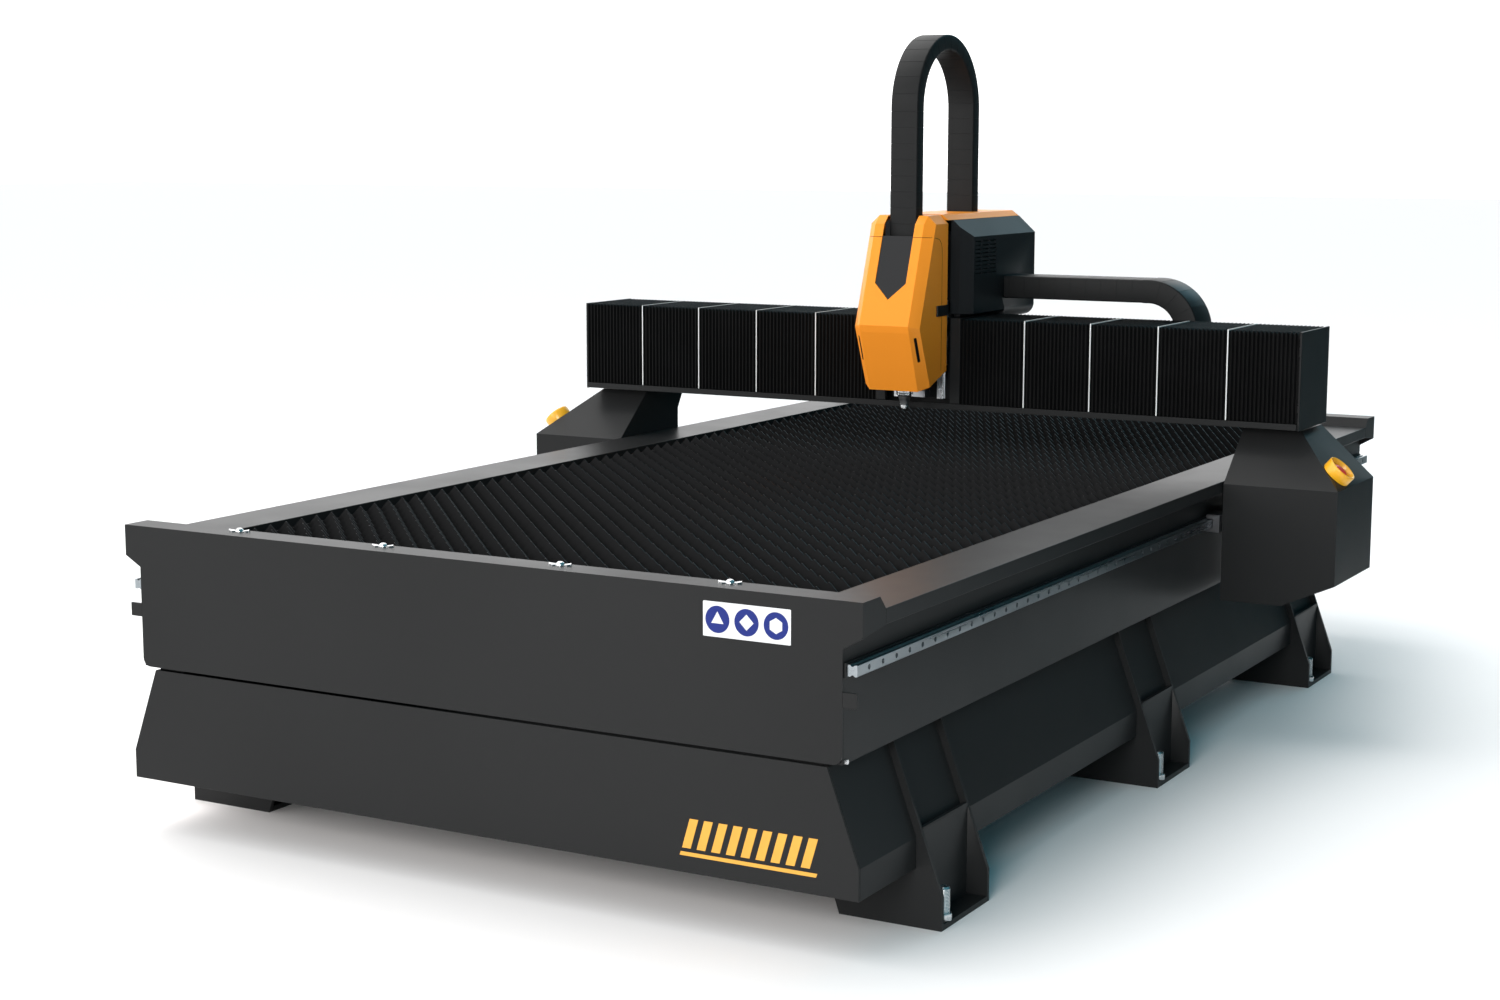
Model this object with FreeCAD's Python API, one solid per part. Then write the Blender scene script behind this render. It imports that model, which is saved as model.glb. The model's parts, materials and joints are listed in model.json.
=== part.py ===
import FreeCAD, Part
import math
import os

os.makedirs("parts", exist_ok=True)
V = FreeCAD.Vector

# ---------------------------------------------------------------- driving sizes, mm
# X runs across the bed, Y runs to the back, Z is up. The origin is on the floor under the
# middle of the bed.
bed_length = 3602.0
bed_width = 1890.0
cap_top = 717.5
band_top = 690.5
flange_bottom = 658.0
ear_bottom = 647.0
recess_half = 902.0
recess_top = 622.5
beam_bottom = 392.0
field_half = 787.0
cap_depth = 74.0
cap_slope_end = 99.5
sheet = 5.0
tube_wall = 6.0
panel_corner = 20.0

tray_top = 385.5
tray_top_half = 868.5
tray_knee = 190.0
tray_half = 940.0
tray_bottom = 124.0
tray_wall = 4.0
tray_end_inset = 2.0
tray_end = 3022.0

leg_starts = (258.0, 1519.0, 2789.0)
leg_depth = 236.0
leg_plate = 10.0
leg_foot_half = 999.0
leg_inner = 765.0
leg_knee = 70.0
leg_edge = 17.0
level_bolt_radius = 13.0
level_bolt_height = 85.0

slat_pitch = 55.5
slat_first = 91.0
slat_thickness = 3.0
slat_foot = 600.0
slat_tip = 697.0
tooth_pitch = 50.8
tooth_depth = 23.0
tooth_count = 30
slat_clearance = 0.3

rail_width = 23.0
rail_height = 22.0
rail_centre = 580.0
rail_pad = 5.0
rail_hole_pitch = 60.0
rail_end_gap = 10.0
block_width = 48.0
block_height = 42.0
block_length = 84.0
block_gap = 0.3
clip_places = (-650.0, -245.0, 216.0, 622.0)
clip_y = 54.0

module = 3.0
pinion_teeth = 18
pressure_angle = math.radians(20.0)
backlash = 0.4
rack_tip_height = 654.0
rack_width = 30.0
shaft_fit = 0.06

gantry_front = 2191.0
gantry_depth = 252.0
gantry_half = 1123.0
gantry_bottom = 827.0
gantry_top = 1089.0
end_plate = 6.0
beam_front = 2271.0
beam_depth = 160.0
beam_base = 842.0
beam_height = 220.0
beam_wall = 8.0
bellows_thickness = 8.0

side_plate_inner = 949.0
side_plate = 15.0
housing_front = 2108.0
housing_back = 2448.0
housing_half = 1256.0
housing_shoulder = 685.0
housing_chamfer_top = 435.0
housing_floor = 371.0
housing_floor_half = 1114.0
housing_top = 819.0
housing_top_half = 1108.0
housing_top_front = 2265.0
housing_wall = 3.0
housing_gap = 0.3
motor_square = 86.0
motor_length = 120.0
gearbox_square = 80.0
gearbox_length = 80.0

stop_radius = 40.0
stop_height = 30.0
stop_wall = 7.0
stop_share = 0.7714
stop_y = 2198.0
stop_button_radius = 21.0
stop_stem_radius = 8.0
stop_travel = 6.0

head_x = 8.0
carriage_half = 92.0
carriage_plate_thickness = 20.0
carriage_bottom = 857.0
carriage_top = 1330.0
frame_inner = 102.0
frame_outer = 132.0
cover_half = 100.0
cover_front_half = 75.0
cover_wall = 4.0
cover_back = 2170.0
z_rail_offset = 68.0
z_rail_width = 20.0
z_rail_height = 17.5
z_rail_top = 1215.0
screw_y = 2200.0
screw_radius = 8.0
spindle_y = 2108.0
spindle_radius = 50.0
spindle_shaft_radius = 12.0

box_half = 152.0
box_front = 2203.0
box_back = 2670.0
box_floor = 1100.0
box_shoulder = 1317.0
box_top = 1364.0
box_top_half = 100.0
box_corner = 31.0
box_wall = 3.0
box_drop = 28.0
box_round = 35.0
cap_strip_top = 1380.0
cap_strip_half = 78.0

chain_half = 41.5
chain_thickness = 44.0
chain_front = 2085.0
chain_radius = 209.5
chain_centre_z = 1673.0
chain_front_end = 1222.0
chain_rear_end = 1250.0

x_chain_front = 2448.0
x_chain_width = 130.0
x_chain_thickness = 66.0
x_chain_radius = 148.0
x_chain_centre_x = 600.0
x_chain_centre_z = 1050.0
x_chain_leg = 800.0
duct_start = -600.0
duct_mouth = 150.0
duct_clearance = 1.5
duct_wall = 3.0

# ---------------------------------------------------------------- derived places
front_y = -bed_length / 2.0
back_y = bed_length / 2.0
pitch_radius = module * pinion_teeth / 2.0
rack_step = math.pi * module
pinion_z = rack_tip_height + module - pitch_radius
pinion_y = front_y + (housing_front + housing_back) / 2.0
beam_back = beam_front + beam_depth
beam_crown = beam_base + beam_height
rail_face = recess_half + rail_pad + rail_height
gantry_back = gantry_front + gantry_depth


def at(offset):
    """Y of a place that lies this far behind the bed's front face."""
    return front_y + offset


def box(x0, x1, y0, y1, z0, z1):
    return Part.makeBox(x1 - x0, y1 - y0, z1 - z0, V(x0, y0, z0))


def face_of(points):
    return Part.Face(Part.makePolygon(points + [points[0]]))


def prism_x(outline, x0, x1):
    """An outline of (y, z) points drawn out along X."""
    return face_of([V(x0, y, z) for y, z in outline]).extrude(V(x1 - x0, 0, 0))


def prism_y(outline, y0, y1):
    """An outline of (x, z) points drawn out along Y."""
    return face_of([V(x, y0, z) for x, z in outline]).extrude(V(0, y1 - y0, 0))


def prism_z(outline, z0, z1):
    """An outline of (x, y) points drawn out along Z."""
    return face_of([V(x, y, z0) for x, y in outline]).extrude(V(0, 0, z1 - z0))


def rod(x, y, z, radius, length, direction=V(0, 0, 1)):
    return Part.makeCylinder(radius, length, V(x, y, z), direction)


def fuse(shapes):
    joined = shapes[0].multiFuse(shapes[1:]) if len(shapes) > 1 else shapes[0]
    return joined.removeSplitter()


def mirrored(shape):
    return shape.mirror(V(0, 0, 0), V(1, 0, 0))


def both_sides(shape):
    return [shape, mirrored(shape)]


def polyhedron(points, faces):
    """A closed solid of flat faces; a face whose corners are not in one plane is cut into triangles."""
    made = []
    for corners in faces:
        loop = [points[i] for i in corners]
        normal = (loop[1] - loop[0]).cross(loop[2] - loop[0])
        flat = all(abs((p - loop[0]).dot(normal)) < 1e-6 * normal.Length for p in loop)
        if flat:
            made.append(face_of(loop))
        else:
            made += [face_of([loop[0], loop[i], loop[i + 1]]) for i in range(1, len(loop) - 1)]
    solid = Part.Solid(Part.Shell(made))
    if solid.Volume < 0:
        solid.reverse()
    return solid


def save(name, shapes):
    solids = shapes if isinstance(shapes, list) else [shapes]
    Part.makeCompound(solids).exportStep("parts/" + name + ".step")


def edges_along_y(shape, x, z):
    """The edges running front to back at this height, this far either side of the middle plane."""
    found = []
    for edge in shape.Edges:
        size = edge.BoundBox
        straight = size.XLength + size.ZLength < 0.01
        if straight and abs(abs(size.XMin) - x) < 0.01 and abs(size.ZMin - z) < 0.01:
            found.append(edge)
    return found


# ---------------------------------------------------------------- bed
def front_panel():
    outline = [
        (-bed_width / 2, cap_top), (bed_width / 2, cap_top), (bed_width / 2, ear_bottom),
        (recess_half, recess_top), (recess_half, beam_bottom), (-recess_half, beam_bottom),
        (-recess_half, recess_top), (-bed_width / 2, ear_bottom),
    ]
    plate = prism_y(outline, at(0), at(sheet))
    plate = plate.makeFillet(panel_corner, edges_along_y(plate, recess_half, beam_bottom))
    cap = box(-bed_width / 2, bed_width / 2, at(0), at(cap_depth), cap_top - sheet, cap_top)
    slope = prism_x(
        [
            (at(cap_depth), cap_top), (at(cap_slope_end), band_top), (at(cap_slope_end), band_top - sheet),
            (at(cap_slope_end - sheet), band_top - sheet), (at(cap_depth - sheet / 2), cap_top - sheet),
            (at(cap_depth - sheet / 2), cap_top),
        ],
        field_half, bed_width / 2,
    )
    fold = box(-field_half, field_half, at(cap_depth - sheet), at(cap_depth), cap_top - 40.0, cap_top)
    ear = prism_x(
        [
            (at(0), ear_bottom), (at(0), cap_top), (at(cap_depth), cap_top),
            (at(cap_slope_end), band_top), (at(cap_slope_end), flange_bottom),
        ],
        bed_width / 2 - sheet, bed_width / 2,
    )
    return fuse([plate, cap, fold] + both_sides(slope) + both_sides(ear))


def rear_panel():
    """The same pressing as the front one, turned to face the back."""
    return front_panel().mirror(V(0, 0, 0), V(0, 1, 0))


def side_beam():
    tube_top = band_top - sheet
    outer = box(field_half, recess_half, at(sheet), back_y - sheet, beam_bottom, tube_top)
    bore = box(
        field_half + tube_wall, recess_half - tube_wall, at(sheet), back_y - sheet,
        beam_bottom + tube_wall, tube_top - tube_wall,
    )
    y0 = at(cap_slope_end)
    y1 = back_y - cap_slope_end
    band = box(field_half, bed_width / 2, y0, y1, tube_top, band_top)
    flange = box(bed_width / 2 - sheet, bed_width / 2, y0, y1, flange_bottom, tube_top)
    return fuse([outer.cut(bore), band, flange])


def side_beams():
    pad = box(
        recess_half, recess_half + rail_pad, at(sheet), back_y - sheet,
        rail_centre - rail_width / 2 - 4.0, rail_centre + rail_width / 2 + 4.0,
    )
    return both_sides(side_beam()) + both_sides(pad)


def slat_places():
    count = int((bed_length - 2 * slat_first) // slat_pitch) + 1
    return [at(slat_first + i * slat_pitch) for i in range(count)]


def support_slats():
    half = field_half - 1.0
    valley = slat_tip - tooth_depth
    outline = [(half, slat_foot), (-half, slat_foot), (-half, valley)]
    for i in range(tooth_count):
        middle = (i - (tooth_count - 1) / 2) * tooth_pitch
        outline.append((middle - tooth_pitch / 2 + 1.0, valley))
        outline.append((middle - 1.0, slat_tip))
        outline.append((middle + 1.0, slat_tip))
    outline.append((tooth_count * tooth_pitch / 2 - 1.0, valley))
    outline.append((half, valley))
    slat = prism_y(outline, 0, slat_thickness)
    return [slat.translated(V(0, y, 0)) for y in slat_places()]


def slat_carriers():
    carrier_foot = slat_foot - 40.0
    carrier_top = slat_foot + 40.0
    outline = [(at(sheet), carrier_foot), (at(sheet), carrier_top)]
    for y in slat_places():
        outline.append((y - slat_clearance, carrier_top))
        outline.append((y - slat_clearance, slat_foot))
        outline.append((y + slat_thickness + slat_clearance, slat_foot))
        outline.append((y + slat_thickness + slat_clearance, carrier_top))
    outline += [(back_y - sheet, carrier_top), (back_y - sheet, carrier_foot)]
    bar = prism_x(outline, 0, 6.0)
    places = (-field_half, -field_half / 3, field_half / 3 - 6.0, field_half - 6.0)
    return [bar.translated(V(x, 0, 0)) for x in places]


def cross_beams():
    beam_size = 60.0
    wall = 4.0
    top = slat_foot - 40.0
    made = []
    for i in range(7):
        y = at(80.0) + i * (bed_length - 160.0 - beam_size) / 6.0
        outer = box(-field_half, field_half, y, y + beam_size, top - beam_size, top)
        bore = box(
            -field_half, field_half, y + wall, y + beam_size - wall, top - beam_size + wall, top - wall
        )
        made.append(outer.cut(bore))
    return made


def tray_outline(inset):
    half = tray_half - inset
    slope_half = tray_top_half - inset
    return [
        (slope_half, tray_top), (half, tray_knee), (half, tray_bottom + inset),
        (-half, tray_bottom + inset), (-half, tray_knee), (-slope_half, tray_top),
    ]


def waste_tray():
    start = at(tray_end_inset + sheet)
    end = at(tray_end) - sheet
    return prism_y(tray_outline(0), start, end).cut(prism_y(tray_outline(tray_wall), start, end))


def tray_end_panels():
    ends = []
    for y in (at(tray_end_inset), at(tray_end) - sheet):
        ends.append(prism_y(tray_outline(0), y, y + sheet))
    return ends


def tray_seals():
    strip = box(field_half + 5.0, tray_top_half - 4.0, at(15.0), at(tray_end) - 13.0, tray_top, beam_bottom)
    return both_sides(strip)


def leg_outline():
    slope = (tray_half - tray_top_half) / (tray_knee - tray_top)
    top = tray_top - 3.0
    top_tray = tray_half + slope * (top - tray_knee)
    return [
        (leg_inner, 0), (leg_foot_half, 0), (leg_foot_half, leg_knee), (top_tray + leg_edge, top),
        (top_tray, top), (tray_half, tray_knee), (tray_half, tray_bottom),
        (leg_inner - 25.0, tray_bottom), (leg_inner - 10.0, 30.0),
    ]


def leg_frames():
    made = []
    for start in leg_starts:
        y0 = at(start)
        y1 = y0 + leg_depth
        plates = [prism_y(leg_outline(), y, y + leg_plate) for y in (y0, y1 - leg_plate)]
        base = box(leg_inner, leg_foot_half, y0 + leg_plate, y1 - leg_plate, 0, 12.0)
        hole = rod(leg_foot_half - 15.0, y0 + 42.0, -1.0, level_bolt_radius + 0.3, 20.0)
        web = box(
            tray_half + 3.0, tray_half + 11.0, y0 + leg_plate, y1 - leg_plate, 12.0, tray_knee + 20.0
        )
        made += both_sides(fuse(plates + [base.cut(hole), web]))
    return made


def levelling_bolts():
    made = []
    for start in leg_starts:
        bolt = rod(leg_foot_half - 15.0, at(start) + 42.0, 0, level_bolt_radius, level_bolt_height)
        collar = rod(leg_foot_half - 15.0, at(start) + 42.0, 12.0, level_bolt_radius + 4.0, 8.0)
        made += both_sides(fuse([bolt, collar]))
    return made


def rail_section(width, height):
    """Outline of a profile rail: across its width first, then up from its seat."""
    half = width / 2
    waist = half - 3.0
    return [
        (-half, 0), (half, 0), (half, height * 0.3), (waist, height * 0.42), (waist, height * 0.6),
        (half, height * 0.75), (half, height - 1.0), (half - 1.0, height), (-half + 1.0, height),
        (-half, height - 1.0), (-half, height * 0.75), (-waist, height * 0.6), (-waist, height * 0.42),
        (-half, height * 0.3),
    ]


def y_rails():
    seat = recess_half + rail_pad
    outline = [(seat + h, rail_centre + w) for w, h in rail_section(rail_width, rail_height)]
    start = at(rail_end_gap)
    length = bed_length - 2 * rail_end_gap
    rail = prism_y(outline, start, start + length)
    count = int(length // rail_hole_pitch)
    first = start + (length - (count - 1) * rail_hole_pitch) / 2
    sinks = [
        rod(seat + rail_height - 9.0, first + i * rail_hole_pitch, rail_centre, 5.5, 10.0, V(1, 0, 0))
        for i in range(count)
    ]
    return both_sides(rail.cut(Part.makeCompound(sinks)))


def rack_teeth(first, last, gap_centre):
    """Rack teeth as (place along the rack, height under the tips) points; flanks lean 20 degrees."""
    step = rack_step
    half_gap = step / 4 + backlash / 4
    lean = math.tan(pressure_angle)
    tip = half_gap + module * lean
    root = half_gap - 1.25 * module * lean
    points = []
    number = math.ceil((first - gap_centre + step) / step)
    while gap_centre + number * step + step / 2 < last:
        middle = gap_centre + number * step
        points += [(middle - tip, 0), (middle - root, -2.25 * module)]
        points += [(middle + root, -2.25 * module), (middle + tip, 0)]
        number += 1
    return points


def y_racks():
    first = at(cap_slope_end + 15.0)
    last = back_y - cap_slope_end - 15.0
    top = band_top - sheet
    outline = [(first, top), (first, rack_tip_height)]
    outline += [(y, rack_tip_height - depth) for y, depth in rack_teeth(first, last, pinion_y)]
    outline += [(last, rack_tip_height), (last, top)]
    return both_sides(prism_x(outline, recess_half, recess_half + rack_width))


def end_tabs():
    """Flat stop tabs under the rails at the four corners."""
    z0 = rail_centre - 73.0
    front = box(recess_half, recess_half + 32.0, at(0), at(6.0), z0, z0 + 31.0)
    rear = front.mirror(V(0, 0, 0), V(0, 1, 0))
    return both_sides(front) + both_sides(rear)


def rim_clips():
    made = []
    for x in clip_places:
        y = at(clip_y)
        base = box(x - 24.0, x + 24.0, y - 9.0, y + 9.0, cap_top, cap_top + 2.5)
        knob = rod(x, y, cap_top + 2.5, 6.5, 6.0)
        made.append(fuse([base, knob]))
    return made


def side_bolts():
    """Hexagon heads low on the side beams, close to each end."""
    made = []
    for y in (at(14.0), back_y - 14.0):
        corners = [i * math.pi / 3 for i in range(6)]
        points = [(y + 5.0 * math.cos(a), beam_bottom + 6.0 + 5.0 * math.sin(a)) for a in corners]
        made += both_sides(prism_x(points, recess_half, recess_half + 6.0))
    return made


# ---------------------------------------------------------------- gears
def pinion_outline():
    """Involute tooth outline about the origin, with one tooth pointing along the second axis."""
    base_radius = pitch_radius * math.cos(pressure_angle)
    outer = pitch_radius + module * 0.95
    root = pitch_radius - 1.25 * module
    involute = math.tan(pressure_angle) - pressure_angle
    half_pitch = math.pi / (2 * pinion_teeth) - backlash / (4 * pitch_radius)
    flank = []
    steps = 5
    for i in range(steps):
        radius = base_radius + (outer - base_radius) * i / (steps - 1)
        angle = math.acos(min(1.0, base_radius / radius))
        flank.append((radius, half_pitch + involute - (math.tan(angle) - angle)))
    points = []
    for tooth in range(pinion_teeth):
        centre = math.pi / 2 - tooth * 2 * math.pi / pinion_teeth
        points.append((root, centre + flank[0][1]))
        points += [(r, centre + a) for r, a in flank]
        points += [(r, centre - a) for r, a in reversed(flank)]
        points.append((root, centre - flank[0][1]))
    return [(r * math.cos(a), r * math.sin(a)) for r, a in points]


def y_pinion():
    face = rack_width - 4.0
    x0 = recess_half + 2.0
    outline = [(pinion_y + u, pinion_z + v) for u, v in pinion_outline()]
    gear = prism_x(outline, x0, x0 + face)
    shaft = rod(x0, pinion_y, pinion_z, 11.0, side_plate_inner + side_plate + 30.0 - x0, V(1, 0, 0))
    return fuse([gear, shaft])


# ---------------------------------------------------------------- gantry
def side_plate_outline(clearance):
    """The side plate seen from the side. The housing's front wall passes in front of it."""
    front = at(housing_front) + housing_wall + housing_gap - clearance
    slope_top = at(housing_top_front) + 5.0 - clearance
    floor = housing_floor - clearance
    back = at(housing_back) + clearance
    return [
        (front, floor), (front, housing_shoulder - 2.0), (slope_top, housing_top),
        (slope_top, gantry_bottom), (back + 27.0, gantry_bottom), (back + 27.0, gantry_bottom - 31.0),
        (back, gantry_bottom - 76.0), (back, floor),
    ]


def side_plates():
    plate = prism_x(side_plate_outline(0), side_plate_inner, side_plate_inner + side_plate)
    bore = rod(side_plate_inner - 1.0, pinion_y, pinion_z, 11.0 + shaft_fit, side_plate + 2.0, V(1, 0, 0))
    saddle = box(
        side_plate_inner, gantry_half - end_plate, at(beam_front), at(beam_back), gantry_bottom, beam_base
    )
    return both_sides(fuse([plate.cut(bore), saddle]))


def gantry_beam():
    half = gantry_half - end_plate
    outer = box(-half, half, at(beam_front), at(beam_back), beam_base, beam_crown)
    bore = box(
        -half, half, at(beam_front + beam_wall), at(beam_back - beam_wall),
        beam_base + beam_wall, beam_crown - beam_wall,
    )
    return outer.cut(bore)


def end_plates():
    plate = box(
        gantry_half - end_plate, gantry_half, at(gantry_front), at(gantry_back), gantry_bottom, gantry_top
    )
    return both_sides(plate)


def housing_solid(inset):
    inner = side_plate_inner - (20.0 if inset else 0.0)
    y0 = at(housing_front) + inset
    y1 = at(housing_back) - inset
    lower = prism_y(
        [
            (inner, housing_floor + inset), (housing_floor_half - inset / 3, housing_floor + inset),
            (housing_half - inset, housing_chamfer_top + inset * 0.7),
            (housing_half - inset, housing_shoulder), (inner, housing_shoulder),
        ],
        y0, y1,
    )
    top = housing_top - inset
    top_y0 = at(housing_top_front) + inset * 0.3
    top_half = housing_top_half - inset * 0.3
    bottom = housing_shoulder - 0.001
    points = [
        V(inner, y0, bottom), V(housing_half - inset, y0, bottom), V(housing_half - inset, y1, bottom),
        V(inner, y1, bottom), V(inner, top_y0, top), V(top_half, top_y0, top), V(top_half, y1, top),
        V(inner, y1, top),
    ]
    faces = [(0, 3, 2, 1), (4, 5, 6, 7), (0, 1, 5, 4), (1, 2, 6, 5), (2, 3, 7, 6), (3, 0, 4, 7)]
    return lower.fuse(polyhedron(points, faces))


slope_run = housing_half - housing_top_half
slope_drop = housing_top - housing_shoulder
slope_length = math.hypot(slope_run, slope_drop)
slope_normal = V(slope_drop / slope_length, 0, slope_run / slope_length)
stop_base = V(
    housing_top_half + slope_run * stop_share, at(stop_y), housing_top - slope_drop * stop_share
)


def housing():
    shell = housing_solid(0).cut(housing_solid(housing_wall))
    hole = Part.makeCylinder(
        stop_stem_radius + 6.0, 20.0, stop_base - slope_normal * 10.0, slope_normal
    )
    plate_room = prism_x(
        side_plate_outline(housing_gap), side_plate_inner - 1.0, side_plate_inner + side_plate + housing_gap
    )
    return shell.cut(hole).cut(plate_room).removeSplitter()


def stop_guard():
    foot = stop_base + slope_normal * 0.3
    ring = Part.makeCylinder(stop_radius, stop_height, foot, slope_normal)
    inside = Part.makeCylinder(stop_radius - stop_wall, stop_height, foot + slope_normal * 5.0, slope_normal)
    ring = ring.cut(inside)
    bore = Part.makeCylinder(stop_stem_radius + shaft_fit, 60.0, foot - slope_normal * 30.0, slope_normal)
    collar = Part.makeCylinder(stop_stem_radius + 5.0, 16.0, foot - slope_normal * 16.0, slope_normal)
    return fuse([ring, collar]).cut(bore)


def stop_button():
    foot = stop_base + slope_normal * 0.3
    stem = Part.makeCylinder(stop_stem_radius, 38.0, foot - slope_normal * 20.0, slope_normal)
    cap_foot = foot + slope_normal * (5.0 + stop_travel + 2.0)
    cap = Part.makeCylinder(stop_button_radius, 12.0, cap_foot, slope_normal)
    return fuse([stem, cap])


def y_bearing_blocks():
    half = block_width / 2
    seat = recess_half + rail_pad
    made = []
    for y in (housing_front - 24.0, housing_back + 26.0 - block_length):
        body = box(
            side_plate_inner - block_height + 4.5, side_plate_inner, at(y), at(y) + block_length,
            rail_centre - half, rail_centre + half,
        )
        channel = box(
            seat - 1.0, seat + rail_height + block_gap, at(y) - 1.0, at(y) + block_length + 1.0,
            rail_centre - rail_width / 2 - block_gap, rail_centre + rail_width / 2 + block_gap,
        )
        made += both_sides(body.cut(channel))
    return made


def y_gearboxes():
    x0 = side_plate_inner + side_plate
    half = gearbox_square / 2
    body = box(x0, x0 + gearbox_length, pinion_y - half, pinion_y + half, pinion_z - half, pinion_z + half)
    bore = rod(x0 - 1.0, pinion_y, pinion_z, 11.0 + shaft_fit, 40.0, V(1, 0, 0))
    return both_sides(body.cut(bore))


def y_motors():
    x0 = side_plate_inner + side_plate + gearbox_length
    half = motor_square / 2
    body = box(x0, x0 + motor_length, pinion_y - half, pinion_y + half, pinion_z - half, pinion_z + half)
    body = body.makeChamfer(9.0, [e for e in body.Edges if abs(e.BoundBox.XLength - motor_length) < 0.01])
    return both_sides(body)


x_rail_heights = (880.0, 1030.0)


def x_rails():
    half = gantry_half - end_plate - 10.0
    made = []
    for z in x_rail_heights:
        outline = [(at(beam_front) - h, z + w) for w, h in rail_section(rail_width, rail_height)]
        made.append(prism_x(outline, -half, half))
    return made


x_rack_foot = 2323.0
x_pinion_y = 2375.0
x_rack_height = 16.0


def x_rack():
    half = gantry_half - end_plate - 20.0
    tips = at(x_pinion_y) - pitch_radius + module
    outline = [(-half, at(x_rack_foot)), (-half, tips)]
    outline += [(x, tips + depth) for x, depth in rack_teeth(-half, half, head_x)]
    outline += [(half, tips), (half, at(x_rack_foot))]
    return prism_z(outline, beam_crown, beam_crown + x_rack_height)


def bellows_side(x0, x1):
    """The bellows on one side: a sheet bent over the beam's front and top, with a gap for stiffeners."""
    sections = 5
    strip = 8.0
    step = (x1 - x0) / sections
    made = []
    stiffeners = []
    outline = [
        (at(gantry_front), gantry_bottom + 19.0), (at(gantry_front), gantry_top - 1.0),
        (at(gantry_back - 2.0), gantry_top - 1.0),
        (at(gantry_back - 2.0), gantry_top - 1.0 - bellows_thickness),
        (at(gantry_front + bellows_thickness), gantry_top - 1.0 - bellows_thickness),
        (at(gantry_front + bellows_thickness), gantry_bottom + 19.0),
    ]
    for i in range(sections):
        start = x0 + i * step + (strip / 2 if i else 0.3)
        end = x0 + (i + 1) * step - (strip / 2 if i < sections - 1 else 0.3)
        made.append(prism_x(outline, start, end))
    for i in range(1, sections):
        stiffeners.append(prism_x(outline, x0 + i * step - strip / 2, x0 + i * step + strip / 2))
    return made, stiffeners


def bellows_tracks():
    half = gantry_half - end_plate
    lip = prism_x(
        [
            (at(gantry_front - 5.0), gantry_bottom + 2.0), (at(gantry_front - 5.0), gantry_bottom + 18.0),
            (at(gantry_front - 2.0), gantry_bottom + 18.0), (at(gantry_front - 2.0), gantry_bottom + 5.0),
            (at(beam_front), gantry_bottom + 5.0), (at(beam_front), gantry_bottom + 2.0),
        ],
        -half, half,
    )
    hook = box(-half, half, at(beam_front) - 3.0, at(beam_front), gantry_bottom + 5.0, beam_base + 12.0)
    rear = box(-half, half, at(beam_back), at(beam_back) + 8.0, beam_crown - 30.0, gantry_top - 14.0)
    return [fuse([lip, hook]), rear]


def chain_tray():
    y0 = at(x_chain_front) - duct_clearance
    y1 = y0 + x_chain_width + 2 * duct_clearance
    z0 = x_chain_centre_z - x_chain_radius - duct_clearance
    z1 = z0 + x_chain_thickness + 2 * duct_clearance
    end = gantry_half - 45.0
    w = duct_wall
    duct = box(duct_start, duct_mouth, y0 - w, y1 + w, z0 - w, z1 + w)
    duct = duct.cut(box(duct_start - 1.0, duct_mouth + 1.0, y0, y1, z0, z1))
    floor = box(duct_mouth, end, y0 - w, y1 + w, z0 - w, z0)
    lip = box(duct_mouth, end, y1, y1 + w, z0, z0 + 18.0)
    arms = []
    for x in (-500.0, 0.0, 500.0, 1000.0):
        arms.append(box(x - 20.0, x + 20.0, at(beam_back), y1, z0 - w - 8.0, z0 - w))
        arms.append(box(x - 20.0, x + 20.0, at(beam_back), at(beam_back) + 6.0, z0 - w - 45.0, z0 - w - 8.0))
    return fuse([duct, floor, lip] + arms)


# ---------------------------------------------------------------- carriage
def carriage_plate():
    y1 = at(beam_front) - 36.0
    y0 = y1 - carriage_plate_thickness
    plate = box(head_x - carriage_half, head_x + carriage_half, y0, y1, carriage_bottom, carriage_top)
    window = box(head_x - 33.0, head_x + 33.0, y0 - 1.0, y1 + 1.0, z_rail_top + 1.0, carriage_top + 1.0)
    bridge = box(head_x - 110.0, head_x + 110.0, y1, at(box_back) - 20.0, box_floor - 10.0, box_floor)
    hole = rod(head_x, at(x_pinion_y), box_floor - 11.0, 10.0 + shaft_fit, 12.0)
    ribs = [
        box(head_x + s * 80.0 - 6.0, head_x + s * 80.0 + 6.0, y1, y1 + 60.0, box_floor, box_floor + 90.0)
        for s in (-1, 1)
    ]
    return fuse([plate.cut(window), bridge.cut(hole)] + ribs)


def bellows_frames():
    """The two angle frames that the bellows are clamped to, one each side of the carriage."""
    outline = [
        (at(gantry_front - 1.0), gantry_bottom + 19.0), (at(gantry_front - 1.0), gantry_top),
        (at(gantry_back - 2.0), gantry_top), (at(gantry_back - 2.0), gantry_top - 9.0),
        (at(gantry_front + 14.0), gantry_top - 9.0), (at(gantry_front + 14.0), gantry_bottom + 19.0),
    ]
    made = []
    for side in (-1, 1):
        x0 = head_x + side * frame_inner
        x1 = head_x + side * frame_outer
        frame = prism_x(outline, min(x0, x1), max(x0, x1))
        tie = box(
            min(head_x + side * 60.0, x1), max(head_x + side * 60.0, x1), at(beam_front) - 36.0,
            at(beam_front) - 28.0, 940.0, 975.0,
        )
        stem = box(
            min(x0, x1), max(x0, x1), at(gantry_front + 14.0), at(beam_front) - 28.0, 940.0, 975.0
        )
        made.append(fuse([frame, tie, stem]))
    return made


def x_bearing_blocks():
    half = block_width / 2
    face = at(beam_front) - 36.0
    made = []
    for z in x_rail_heights:
        for x in (head_x - 88.0, head_x + 4.0):
            body = box(x, x + block_length, face, at(beam_front) - 5.0, z - half, z + half)
            channel = box(
                x - 1.0, x + block_length + 1.0, at(beam_front) - rail_height - block_gap,
                at(beam_front) + 1.0, z - rail_width / 2 - block_gap, z + rail_width / 2 + block_gap,
            )
            made.append(body.cut(channel))
    return made


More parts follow.
